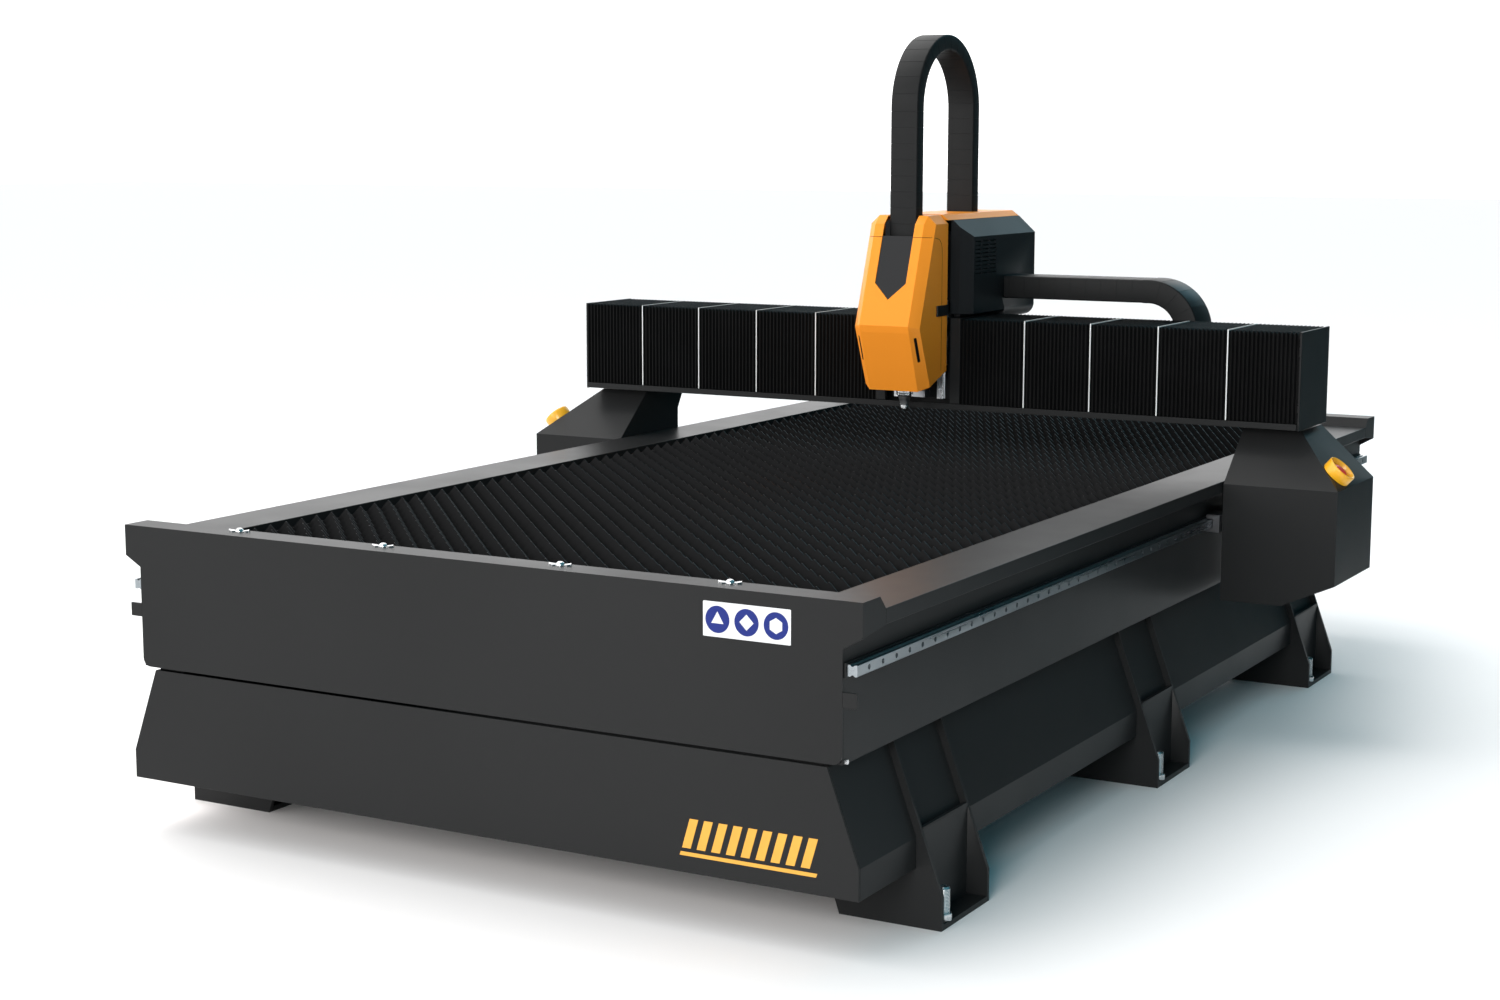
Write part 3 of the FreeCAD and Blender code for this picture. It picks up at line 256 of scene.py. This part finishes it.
def made(name, shells, material, body=None, replaces=(), sharp=35.0):
    """One piece from shells of (points, faces): welded, turned outwards, smooth under the sharp angle."""
    points = []
    faces = []
    start = 0
    for shell_points, shell_faces in shells:
        points.append(shell_points)
        faces += [[start + i for i in face] for face in shell_faces]
        start += len(shell_points)
    mesh = bpy.data.meshes.new(name)
    mesh.from_pydata(np.concatenate(points).tolist(), [], faces)
    work = bmesh.new()
    work.from_mesh(mesh)
    bmesh.ops.remove_doubles(work, verts=work.verts, dist=1e-6)
    bmesh.ops.recalc_face_normals(work, faces=work.faces)
    work.to_mesh(mesh)
    work.free()
    mesh.shade_smooth()
    mesh.set_sharp_from_angle(angle=math.radians(sharp))
    mesh.materials.append(material)
    piece = bpy.data.objects.new(name, mesh)
    bpy.context.scene.collection.objects.link(piece)
    if replaces:
        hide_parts(*replaces)
    if body:
        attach(piece, body)
    return piece


def eased(node, material, width=0.0015, segments=2):
    """The CAD node's own shape with rounded edges: a copy, welded, flat triangles joined, then bevelled."""
    source = frame["nodes"][node]
    mesh = source.data.copy()
    work = bmesh.new()
    work.from_mesh(mesh)
    bmesh.ops.remove_doubles(work, verts=work.verts, dist=1e-6)
    bmesh.ops.dissolve_limit(
        work, angle_limit=math.radians(0.4), verts=work.verts, edges=work.edges,
        use_dissolve_boundaries=False,
    )
    work.to_mesh(mesh)
    work.free()
    mesh.shade_smooth()
    mesh.set_sharp_from_angle(angle=math.radians(30.0))
    mesh.materials.clear()
    mesh.materials.append(material)
    piece = bpy.data.objects.new(node + "_skin", mesh)
    bpy.context.scene.collection.objects.link(piece)
    bevel = piece.modifiers.new("eased", "BEVEL")
    bevel.width = width
    bevel.segments = segments
    bevel.limit_method = "ANGLE"
    bevel.angle_limit = math.radians(25.0)
    bevel.harden_normals = True
    bevel.use_clamp_overlap = True
    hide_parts(node)
    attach(piece, body_of_node[node])
    return piece


def rounded_rectangle(half_width, half_height, radius, steps=3):
    """Corner centres plus a turning radius: an outline of shape (n, 2), anticlockwise."""
    quarter = np.linspace(0, math.pi / 2, steps + 1)
    angle = np.concatenate([quarter + k * math.pi / 2 for k in range(4)])
    side = np.repeat([[1, 1], [-1, 1], [-1, -1], [1, -1]], steps + 1, axis=0)
    centre = side * [half_width - radius, half_height - radius]
    return centre + radius * np.stack([np.cos(angle), np.sin(angle)], -1)


def square_to(direction):
    """Two unit vectors square to a direction and to each other."""
    along = np.array(direction, float)
    along /= np.linalg.norm(along)
    first = np.cross(along, [0, 0, 1.0] if abs(along[2]) < 0.9 else [1.0, 0, 0])
    first /= np.linalg.norm(first)
    return along, first, np.cross(along, first)


def turned(profile, foot, direction=(0, 0, 1), steps=48, flats=0, bite=0.0, ring_shaped=False):
    """A profile of (radius, height) points turned about an axis; the radius dips at each of the flats."""
    profile = np.array(profile, float)
    along, first, second = square_to(direction)
    angle = np.linspace(0, 2 * math.pi, steps, endpoint=False)
    dip = 1 - bite * (0.5 + 0.5 * np.cos(flats * angle)) if flats else np.ones(steps)
    ring = np.cos(angle)[:, None] * first + np.sin(angle)[:, None] * second
    points = (
        np.array(foot, float)
        + profile[:, 1, None, None] * along
        + profile[:, 0, None, None] * (ring * dip[:, None])[None]
    )
    return loft(points, ring_shaped)


def plate(outline, origin, across, up, thickness):
    """A flat outline of (a, b) points in the plane of across and up, given a thickness along their cross."""
    outline = np.array(outline, float)
    across = np.array(across, float)
    up = np.array(up, float)
    face = np.array(origin, float) + outline[:, :1] * across + outline[:, 1:] * up
    out = np.cross(across, up)
    return loft(np.stack([face, face + out * thickness]))


def run_of(path_points, normals, half_width, out, sink):
    """A thin raised line along a path: four corners at each point, set across and along its normal."""
    path_points = np.array(path_points, float)
    normals = np.array(normals, float)
    normals /= np.linalg.norm(normals, axis=1, keepdims=True)
    forward = np.gradient(path_points, axis=0)
    across = np.cross(forward, normals)
    across /= np.linalg.norm(across, axis=1, keepdims=True)
    corners = [
        path_points + across * half_width + normals * out,
        path_points - across * half_width + normals * out,
        path_points - across * half_width - normals * sink,
        path_points + across * half_width - normals * sink,
    ]
    return loft(np.stack(corners, 1))


body_of_node = {
    node: body for body, nodes in frame["record"]["behaviour"]["bodies"].items() for node in nodes
}


# ---------------------------------------------------------------- bed
def bed():
    """The bed's own pieces: CAD shapes with their edges eased."""
    for node in ("front_panel", "rear_panel"):
        eased(node, frame_paint, 0.0022, 3)
    eased("side_beams", frame_paint, 0.0018)
    eased("waste_tray", frame_paint, 0.0018)
    eased("tray_end_panels", frame_paint, 0.0018)
    eased("leg_frames", frame_paint, 0.0015)
    eased("end_tabs", frame_paint, 0.001)


def leg_bolts():
    """Levelling bolts: a turned thread of fine ridges and a hexagon nut."""
    bolt_box_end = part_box("levelling_bolts")[1][0]
    collar_radius = 0.017
    radius = 0.013
    pitch = 0.003
    ridge = np.arange(0.001, 0.080, 0.001)
    wave = radius - 0.0007 * (0.5 + 0.5 * np.cos(ridge / pitch * 2 * math.pi))
    thread = [(0.0, 0.0), (radius - 0.002, 0.0)] + list(zip(wave, ridge))
    thread += [(radius - 0.003, 0.083), (0.0, 0.083)]
    nut = [
        (0.0, 0.0125), (0.0172, 0.0125), (0.0180, 0.0140), (0.0180, 0.0265), (0.0172, 0.0280), (0.0, 0.0280),
    ]
    shells = []
    for side in (-1, 1):
        for along in bolt_places:
            foot = (side * (bolt_box_end - collar_radius), front + along, 0.0)
            shells.append(turned(thread, foot, steps=24))
            shells.append(turned(nut, foot, steps=48, flats=6, bite=0.12))
    made("levelling_bolts_turned", shells, bright_steel, "bed", ["levelling_bolts"])


def rim_clips():
    """Cast clips: a domed hub on a waisted wing whose half-width follows a cosine along its length."""
    shells = []
    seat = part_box("rim_clips")[0][2]
    hub = [(0.0, 0.0), (0.0095, 0.0), (0.0095, 0.002), (0.0075, 0.0055), (0.0045, 0.0078), (0.0, 0.0084)]
    turn = math.radians(18.0)
    for x in clip_places:
        middle = np.array([x, front + clip_inset, seat])
        shells.append(turned(hub, middle, steps=32))
        reach = np.linspace(-0.024, 0.024, 25)
        width = 0.0035 + 0.0045 * np.cos(reach / 0.024 * math.pi * 1.5) ** 2
        rise = 0.0016 + 0.0022 * np.abs(reach / 0.024) ** 2
        corner = [(-1, 0), (1, 0), (1, 1), (0.5, 1.35), (-0.5, 1.35), (-1, 1)]
        sections = np.stack(
            [
                np.stack(
                    [
                        reach * math.cos(turn) - a * width * math.sin(turn),
                        reach * math.sin(turn) + a * width * math.cos(turn), b * rise,
                    ], -1,
                )
                for a, b in corner
            ], 1,
        )
        shells.append(loft(sections + middle))
    made("rim_clips_cast", shells, bright_steel, "bed", ["rim_clips"])


def rail_screws():
    """Socket screws in the rail holes: a domed head turned about X with a round socket sunk in it."""
    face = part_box("y_rails")[1][0]
    head = [(0.0, -0.0088), (0.0040, -0.0088), (0.0041, -0.0052), (0.0038, -0.0047), (0.0022, -0.0046)]
    socket = [(0.0021, -0.0047), (0.0021, -0.0075), (0.0, -0.0075)]
    shells = []
    for side in (-1, 1):
        for hole in range(rail_holes):
            foot = (side * face, front + first_rail_hole + hole * rail_hole_pitch, rail_height)
            shells.append(turned(head + socket, foot, (side, 0, 0), steps=18))
    made("rail_screws", shells, bright_steel, "bed")


def front_markings():
    """A plain yellow badge of slanted bars, and a white plate with three blue discs and simple shapes."""
    skin = front + 0.002
    bars = []
    foot, head = 0.176, 0.238
    width = 0.020
    lean = 0.018
    for k in range(9):
        left = 0.540 + k * 0.034
        bars.append(plate(
            [(left, foot), (left + width, foot), (left + width + lean, head), (left + lean, head)],
            (0, skin + 0.0002, 0), (1, 0, 0), (0, 0, 1), 0.0007,
        ))
    bars.append(plate(
        [(0.534, 0.160), (0.846, 0.160), (0.849, 0.168), (0.537, 0.168)], (0, skin + 0.0002, 0), (1, 0, 0),
        (0, 0, 1), 0.0007,
    ))
    made("badge_bars", bars, mark_yellow, "bed")
    centre = np.array([0.690, front + 0.0002, 0.6535])
    board = rounded_rectangle(0.099, 0.0355, 0.002)
    made("label_board", [plate(board, centre, (1, 0, 0), (0, 0, 1), 0.0005)], label_white, "bed")
    discs = []
    shapes = []
    circle = np.linspace(0, 2 * math.pi, 48, endpoint=False)
    round_outline = np.stack([np.cos(circle), np.sin(circle)], -1)
    for k in (-1, 0, 1):
        place = centre + [k * 0.066, -0.0004, 0]
        discs.append(plate(round_outline * 0.0275, place, (1, 0, 0), (0, 0, 1), 0.0002))
        corners = (3, 4, 6)[k + 1]
        angle = np.linspace(0, 2 * math.pi, corners, endpoint=False) + math.pi / 2
        outline = np.stack([np.cos(angle), np.sin(angle)], -1) * 0.016
        shapes.append(plate(outline, place + [0, -0.0002, 0], (1, 0, 0), (0, 0, 1), 0.00015))
    made("label_discs", discs, label_blue, "bed")
    made("label_shapes", shapes, label_white, "bed")


# ---------------------------------------------------------------- gantry
def gantry():
    """The gantry's sheet and plate pieces, with their edges eased."""
    for node in ("gantry_side_plates", "beam_end_plates", "housing_right", "housing_left"):
        eased(node, frame_paint, 0.0018)
    eased("bellows_tracks", frame_paint, 0.0008)
    eased("chain_tray", box_paint, 0.0008)
    eased("y_bearing_blocks", dark_steel, 0.0012)


def bellows():
    """Pleated covers in five lengths a side. Each is one sheet: pleats along X set in by a zigzag depth,
    carried up the front, over the corner and back. A white strip stands between two lengths."""
    track_low, track_high = [np.array(p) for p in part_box("bellows_left")]
    right_low, right_high = [np.array(p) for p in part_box("bellows_right")]
    y0, z0 = track_low[1], track_low[2]
    y1, z1 = track_high[1], track_high[2]
    depth = 0.0065
    sides = {"left": (track_low[0], track_high[0]), "right": (right_high[0], right_low[0])}
    for side, (outer, inner) in sides.items():
        edges = np.linspace(outer, inner, lengths_a_side + 1)
        for k in range(lengths_a_side):
            begin, end = edges[k], edges[k + 1]
            pleats = int(round(abs(end - begin) / 0.0115))
            t = (np.arange(pleats)[:, None] + np.array([0.0, 0.14, 0.5, 0.64])).ravel() / pleats
            t = np.append(t, 1.0)
            inset = np.append(np.tile([0.0, 0.0, depth, depth], pleats), 0.0)
            x = begin + (end - begin) * t
            path = [
                np.stack([x, y0 + inset, np.full_like(x, z0)], -1),
                np.stack([x, y0 + inset, np.full_like(x, (z0 + z1) / 2)], -1),
                np.stack([x, y0 + inset, z1 - inset - 0.003], -1),
                np.stack([x, y0 + inset + 0.003, z1 - inset], -1),
                np.stack([x, np.full_like(x, (y0 + y1) / 2), z1 - inset], -1),
                np.stack([x, np.full_like(x, y1), z1 - inset], -1),
            ]
            name = "bellows_%s_%d" % (side, k + 1)
            sheet = made(name, [open_sheet(np.stack(path, 1))], bellows_cloth, sharp=20.0)
            if k == 2:
                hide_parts("bellows_" + side)
            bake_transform(sheet)
        for k in range(1, lengths_a_side):
            half = 0.0014
            proud = 0.0006
            sink = 0.003
            x = edges[k]
            corners = [
                [(y0 - proud, z0), (y0 + sink, z0)], [(y0 - proud, z1 + proud), (y0 + sink, z1 - sink)],
                [(y1, z1 + proud), (y1, z1 - sink)],
            ]
            sections = np.array([
                [(x - half, *out), (x + half, *out), (x + half, *back), (x - half, *back)]
                for out, back in corners
            ])
            strip = made("bellows_strip_%s_%d" % (side, k), [loft(sections)], strip_white)
            if side == "left" and k == 1:
                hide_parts("bellows_stiffeners")
            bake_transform(strip)


def stop_stations():
    """Guard rings and mushroom buttons, turned about the slope's normal."""
    top = np.array([housing_top_half, front + stop_place, housing_top])
    shoulder = np.array([housing_half, front + stop_place, housing_shoulder])
    slope = (shoulder - top) / np.linalg.norm(shoulder - top)
    foot = top + slope * stop_along_slope
    guard = [
        (0.0094, 0.0055), (0.0330, 0.0055), (0.0345, 0.0280), (0.0358, 0.0298), (0.0382, 0.0303),
        (0.0396, 0.0290), (0.0400, 0.0265), (0.0400, 0.0030), (0.0390, 0.0008), (0.0370, 0.0003),
        (0.0094, 0.0003),
    ]
    mushroom = [
        (0.0, 0.0050), (0.0085, 0.0050), (0.0085, 0.0130), (0.0185, 0.0132), (0.0205, 0.0145),
        (0.0210, 0.0175), (0.0205, 0.0205), (0.0180, 0.0232), (0.0130, 0.0246), (0.0070, 0.0250),
        (0.0, 0.0251),
    ]
    guards = []
    for side, name in ((1, "right"), (-1, "left")):
        mirror = np.array([side, 1, 1])
        normal = np.array([-slope[2], 0, slope[0]]) * mirror
        guards.append(turned(guard, foot * mirror, normal, 64, ring_shaped=True))
        made(
            "stop_mushroom_" + name, [turned(mushroom, foot * mirror, normal, 48)], button_red,
            name + "_stop", ["stop_button_" + name], sharp=50.0,
        )
    made("stop_guard_rings", guards, guard_yellow, "gantry", ["stop_guards"], sharp=50.0)


# ---------------------------------------------------------------- chains
def chain_stations(length, link=0.045):
    """Places along a chain with its scale at each: full over a link, drawn in at the narrow joint."""
    links = max(1, int(round(length / link)))
    within = np.array([0.02, 0.26, 0.5, 0.74, 0.98, 0.985, 1.015])
    scale = np.array([1, 1, 1, 1, 1, 0.0, 0.0])
    s = (np.arange(links)[:, None] + within).ravel() / links
    k = np.tile(scale, links)
    keep = s < 0.999
    return np.concatenate([[0.0], s[keep], [1.0]]) * length, np.concatenate([[1.0], k[keep], [1.0]])


def chain_skin(centre, radius, first_leg, last_leg, half_width, half_thickness, plane):
    """A band carried up a straight leg, round a half circle and down another, drawn in at each joint."""
    arc = math.pi * radius
    s, full = chain_stations(first_leg + arc + last_leg)
    angle = np.clip((s - first_leg) / radius, 0, math.pi)
    before = np.minimum(s - first_leg, 0)
    after = np.maximum(s - first_leg - arc, 0)
    u = -radius * np.cos(angle)
    v = radius * np.sin(angle) + before - after
    normal = np.stack([-np.cos(angle), np.sin(angle)], -1)
    outline = rounded_rectangle(half_thickness, half_width, 0.005, 3)
    pinch = 1 - 0.0005 * (1 - full)[:, None] / np.array([half_thickness, half_width])
    section = outline[None] * pinch[:, None, :]
    flat = np.stack([u, v], -1)[:, None, :] + section[:, :, :1] * normal[:, None, :]
    return loft(plane(centre, flat, section[:, :, 1]))


def lift_chain():
    """The upright chain: a rounded band up the front leg, round a half circle over Y, and down the rear."""
    low, high = [np.array(p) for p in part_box("lift_chain")]
    outer = (high[1] - low[1]) / 2
    half_thickness = 0.022
    centre = np.array([head_x, (low[1] + high[1]) / 2, high[2] - outer])
    half_width = (high[0] - low[0]) / 2

    def upright(middle, flat, side):
        return np.stack([middle[0] + side, middle[1] + flat[..., 0], middle[2] + flat[..., 1]], -1)

    leg = centre[2] - low[2]
    rear_leg_short = 0.028
    skin = chain_skin(
        centre, outer - half_thickness, leg, leg - rear_leg_short, half_width, half_thickness, upright
    )
    made("lift_chain_links", [skin], chain_plastic, "head_chain", ["lift_chain"], sharp=40.0)


def cross_chain():
    """The chain behind the beam: a half circle with its lower leg, and the upper run that stretches."""
    low, high = [np.array(p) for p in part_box("x_chain_loop")]
    run_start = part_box("x_chain_run")[0][0]
    lower_leg_lead = 0.016
    anchor_overlap = 0.03
    outer = (high[2] - low[2]) / 2
    half_thickness = 0.033
    centre = np.array([high[0] - outer, (low[1] + high[1]) / 2, (low[2] + high[2]) / 2])
    half_width = (high[1] - low[1]) / 2

    def sideways(middle, flat, side):
        return np.stack([middle[0] + flat[..., 1], middle[1] + side, middle[2] - flat[..., 0]], -1)

    skin = chain_skin(
        centre, outer - half_thickness, lower_leg_lead, centre[0] - low[0], half_width, half_thickness,
        sideways,
    )
    made("cross_chain_loop", [skin], chain_plastic, "cross_chain", ["x_chain_loop"], sharp=40.0)
    begin = run_start - anchor_overlap
    s, full = chain_stations(centre[0] - begin)
    outline = rounded_rectangle(half_width - 0.0006, half_thickness - 0.0006, 0.005, 3)
    pinch = 1 - 0.0005 * (1 - full)[:, None] / np.array([half_width, half_thickness])
    section = outline[None] * pinch[:, None, :]
    x = np.broadcast_to((begin + s)[:, None], section.shape[:2])
    points = np.stack([x, centre[1] + section[..., 0], high[2] - half_thickness + section[..., 1]], -1)
    run = made("cross_chain_run", [loft(points)], chain_plastic, replaces=["x_chain_run"], sharp=40.0)
    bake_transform(run)


# ---------------------------------------------------------------- carriage and head
def carriage():
    """Box, cap, frames and plate of the carriage, and a flat black sheet inside each set of vents as painted
    shade for the dark inside of the box.
    """
    eased("rear_box", box_paint, 0.0016)
    eased("rear_cap", hood_paint, 0.0016)
    eased("bellows_frames", frame_paint, 0.0012)
    eased("carriage_plate", inner_paint, 0.0012)
    low, high = [np.array(p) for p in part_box("rear_box")]
    depth, height = 0.078, 0.052
    # Painted shade: a flat black sheet just inside each vent wall stands in for the shaded inside of the box
    # behind the slots.
    shade_backing = []
    for side in (-1, 1):
        skin = head_x + side * ((high[0] - low[0]) / 2 - 0.0036)
        outline = [(-depth, -height), (depth, -height), (depth, height), (-depth, height)]
        shade_backing.append(plate(outline, (skin, low[1] + 0.111, 1.2578), (0, 1, 0), (0, 0, 1), side * -0.001))
    made("vent_shade_backing", shade_backing, seam_and_shade_black, "carriage")


def hood_front(z):
    """Y of the hood's front facet at a height: one slope above the crease, another below it."""
    upper = front + 1.9685 + (z - 1.0775) * (0.0955 / 0.2775)
    lower = front + 1.9735 + (1.058 - z) * (0.0625 / 0.167)
    return np.where(z > 1.068, upper, lower)


def hood_side(z):
    """Y of the hood's side edge at a height."""
    upper = front + 1.9915 + (z - 1.0705) * (0.0985 / 0.2845)
    lower = front + 1.9915 + (1.0705 - z) * (0.0705 / 0.1675)
    return np.where(z > 1.0705, upper, lower)


def hood():
    """Hood, chevron and latches; thin dark lines along the seams; a black rounded plate low on each facet as
    painted shade for the inside of a slot.
    """
    eased("head_cover", hood_paint, 0.0019, 3)
    eased("chevron_panel", chevron_paint, 0.0008)
    eased("hood_latches", black_plastic, 0.0012)
    seams = []
    slots = []
    for side in (-1, 1):
        z = 1.3195
        band = [
            (head_x + side * 0.0478, hood_front(z), z),
            (head_x + side * 0.0744, hood_front(z), z),
            (head_x + side * 0.0756, hood_front(z), z),
            (head_x + side * 0.0995, hood_side(z - 0.001), z - 0.001),
        ]
        facing = [(0, -1, 0.34), (0, -1, 0.34), (side * 0.7, -0.8, 0.25), (side * 0.8, -0.7, 0.2)]
        seams.append(run_of(band, facing, 0.0006, 0.00025, 0.0008))
        edge = head_x + side * 0.100
        down = [
            (edge, front + 2.084, 1.3175), (edge, front + 2.112, 1.3130), (edge, front + 2.126, 1.3020),
            (edge, front + 2.132, 1.2860), (edge, front + 2.133, 1.2600), (edge, front + 2.133, 1.1000),
            (edge, front + 2.133, 0.9450),
        ]
        seams.append(run_of(down, [(side, 0, 0)] * len(down), 0.0006, 0.00025, 0.0008))
        height = np.array([1.046, 0.976])
        middle = np.stack(
            [np.full(2, head_x + side * 0.0868), (hood_front(height) + hood_side(height)) / 2, height], -1
        )
        up = middle[0] - middle[1]
        length = np.linalg.norm(up)
        up /= length
        across = np.array([side * 0.025, 0.021, 0.0125])
        across -= up * np.dot(across, up)
        across /= np.linalg.norm(across)
        out = np.cross(across, up)
        if out[1] > 0:
            across = -across
            out = -out
        # Painted shade: a black stadium plate, nearly flush with the facet, stands in for the shaded inside
        # of a slot.
        stadium = rounded_rectangle(0.0042, length / 2, 0.0041, 6)
        slots.append(plate(stadium, middle.mean(0) - out * 0.0012, across, up, 0.0016))
    made("hood_seams", seams, seam_and_shade_black, "head")
    made("hood_slot_shades", slots, seam_and_shade_black, "head")


def tool_nose():
    """Collet nut, taper and cutter turned about the spindle; the nut has shallow wrench flats."""
    foot = np.array([head_x, front + spindle_place, 0.0])
    nut = [
        (0.0, 0.8725), (0.0215, 0.8725), (0.0238, 0.8740), (0.0240, 0.8790), (0.0232, 0.8800),
        (0.0240, 0.8810), (0.0240, 0.8850), (0.0225, 0.8862), (0.0, 0.8862),
    ]
    taper = [
        (0.0, 0.8450), (0.0128, 0.8450), (0.0134, 0.8465), (0.0138, 0.8540), (0.0170, 0.8640),
        (0.0204, 0.8725), (0.0, 0.8725),
    ]
    shank = [(0.0, 0.886), (0.0119, 0.886), (0.0119, 1.115), (0.0, 1.115)]
    tip = [
        (0.0, 0.8312), (0.0088, 0.8312), (0.0100, 0.8325), (0.0108, 0.8350), (0.0086, 0.8362),
        (0.0086, 0.8378), (0.0112, 0.8390), (0.0112, 0.8449), (0.0, 0.8449),
    ]
    made(
        "collet_nut", [turned(nut, foot, steps=72, flats=8, bite=0.05), turned(shank, foot, steps=24)],
        bright_steel, "spindle", ["spindle_rotor"],
    )
    made("collet_taper", [turned(taper, foot, steps=48)], milled_alloy, "spindle")
    made("cutter_turned", [turned(tip, foot, steps=40)], bright_steel, "spindle", ["cutter"])


def machine_finishes():
    """Materials for the CAD nodes whose own shape is shown."""
    finishes = {
        slat_paint: ["support_slats", "slat_carriers", "cross_beams"],
        frame_paint: ["gantry_beam"],
        seal_rubber: ["tray_seals"],
        lane_steel_y: ["y_rails", "y_racks"],
        lane_steel_x: ["x_rails", "x_rack"],
        lane_steel_z: ["z_rails", "lift_screw"],
        bright_steel: ["y_pinion_right", "y_pinion_left", "x_pinion", "side_bolts", "z_bearing_blocks"],
        dark_steel: ["y_gearboxes", "x_bearing_blocks", "screw_nut"],
        milled_alloy: ["z_plate", "spindle_clamp", "spindle_motor", "screw_supports"],
        black_plastic: ["y_motors", "x_motor", "z_motor"],
    }
    for material, nodes in finishes.items():
        for node in nodes:
            shown = frame["nodes"][node]
            shown.data.materials.clear()
            shown.data.materials.append(material)


# ---------------------------------------------------------------- studio
def studio():
    """A white sky that darkens to teal on the right, a pale floor and four soft lamps."""
    world = bpy.data.worlds.new("studio")
    bpy.context.scene.world = world
    world.use_nodes = True
    bpy.context.scene.view_settings.view_transform = "Standard"
    tree = world.node_tree
    place = tree.nodes.new("ShaderNodeTexCoord")
    parts = tree.nodes.new("ShaderNodeSeparateXYZ")
    tree.links.new(place.outputs["Generated"], parts.inputs["Vector"])
    darkness = spread(tree, parts.outputs["X"], -0.19, 0.16, 0.0, 1.0)
    background = tree.nodes["Background"]
    sky = shade_between(tree, darkness, (1.0, 1.0, 1.0), (0.03, 0.10, 0.125))
    tree.links.new(sky, background.inputs["Color"])
    background.inputs["Strength"].default_value = 1.95
    ground = bpy.data.meshes.new("floor")
    reach = 60.0
    ground.from_pydata(
        [(-reach, -reach, 0), (reach, -reach, 0), (reach, reach, 0), (-reach, reach, 0)], [], [(0, 1, 2, 3)]
    )
    floor = bpy.data.objects.new("floor", ground)
    bpy.context.scene.collection.objects.link(floor)
    ground.materials.append(finish("floor_white", (0.97, 0.93, 0.92), 0.9, specular=0.1)[0])
    lamps = (
        ("overhead", (-2.5, 1.0, 7.0), (-1.0, 2.5, 0.6), 6.0, 220.0, (1.0, 0.99, 0.97)),
        ("front_left", (-4.5, -8.5, 3.2), (0, 0.2, 0.8), 3.5, 120.0, (1.0, 0.99, 0.97)),
        ("front_right", (2.4, -9.0, 3.0), (0.3, 0.2, 0.8), 3.0, 420.0, (1.0, 0.99, 0.97)),
        ("back_teal", (1.9, 8.5, 5.2), (0.9, 0.3, 0.9), 4.5, 70.0, (0.12, 0.75, 1.0)),
    )
    for name, place, aim, size, power, colour in lamps:
        data = bpy.data.lights.new(name, "AREA")
        data.shape = "SQUARE"
        data.size = size
        data.energy = power
        data.color = colour
        lamp = bpy.data.objects.new(name, data)
        lamp.location = place
        lamp.rotation_euler = (Vector(aim) - Vector(place)).to_track_quat("-Z", "Y").to_euler()
        bpy.context.scene.collection.objects.link(lamp)


def mirrored_board():
    """A dark teal board to the right of the machine that only the gloss of its right side mirrors."""
    x, near, far, top = 1.75, -0.2, 14.0, 3.4
    mesh = bpy.data.meshes.new("board")
    mesh.from_pydata([(x, near, 0.0), (x, far, 0.0), (x, far, top), (x, near, top)], [], [(0, 1, 2, 3)])
    board = bpy.data.objects.new("board", mesh)
    bpy.context.scene.collection.objects.link(board)
    mesh.materials.append(finish("board_teal", (0.010, 0.035, 0.042), 0.9, specular=0.0)[0])
    board.visible_camera = False
    board.visible_diffuse = False
    board.visible_shadow = False


def camera():
    """A camera at the front right, a little above the gantry."""
    data = bpy.data.cameras.new("camera")
    data.sensor_width = 36.0
    data.lens = 57.98
    data.shift_x = 0.0035
    data.clip_end = 200.0
    eye = bpy.data.objects.new("camera", data)
    yaw, pitch, roll = 0.517, -0.149, 0.001
    ahead = Vector((-math.sin(yaw) * math.cos(pitch), math.cos(yaw) * math.cos(pitch), math.sin(pitch)))
    right = Vector((math.cos(yaw), math.sin(yaw), 0.0))
    up = right.cross(ahead)
    turn = Matrix((right, up, -ahead)).transposed().to_4x4() @ Matrix.Rotation(roll, 4, "Z")
    eye.matrix_world = Matrix.Translation((2.9825, front - 4.0396, 1.5938)) @ turn
    bpy.context.scene.collection.objects.link(eye)
    bpy.context.scene.camera = eye


bed()
leg_bolts()
rim_clips()
rail_screws()
front_markings()
gantry()
bellows()
stop_stations()
lift_chain()
cross_chain()
carriage()
hood()
tool_nose()
machine_finishes()
studio()
mirrored_board()
camera()
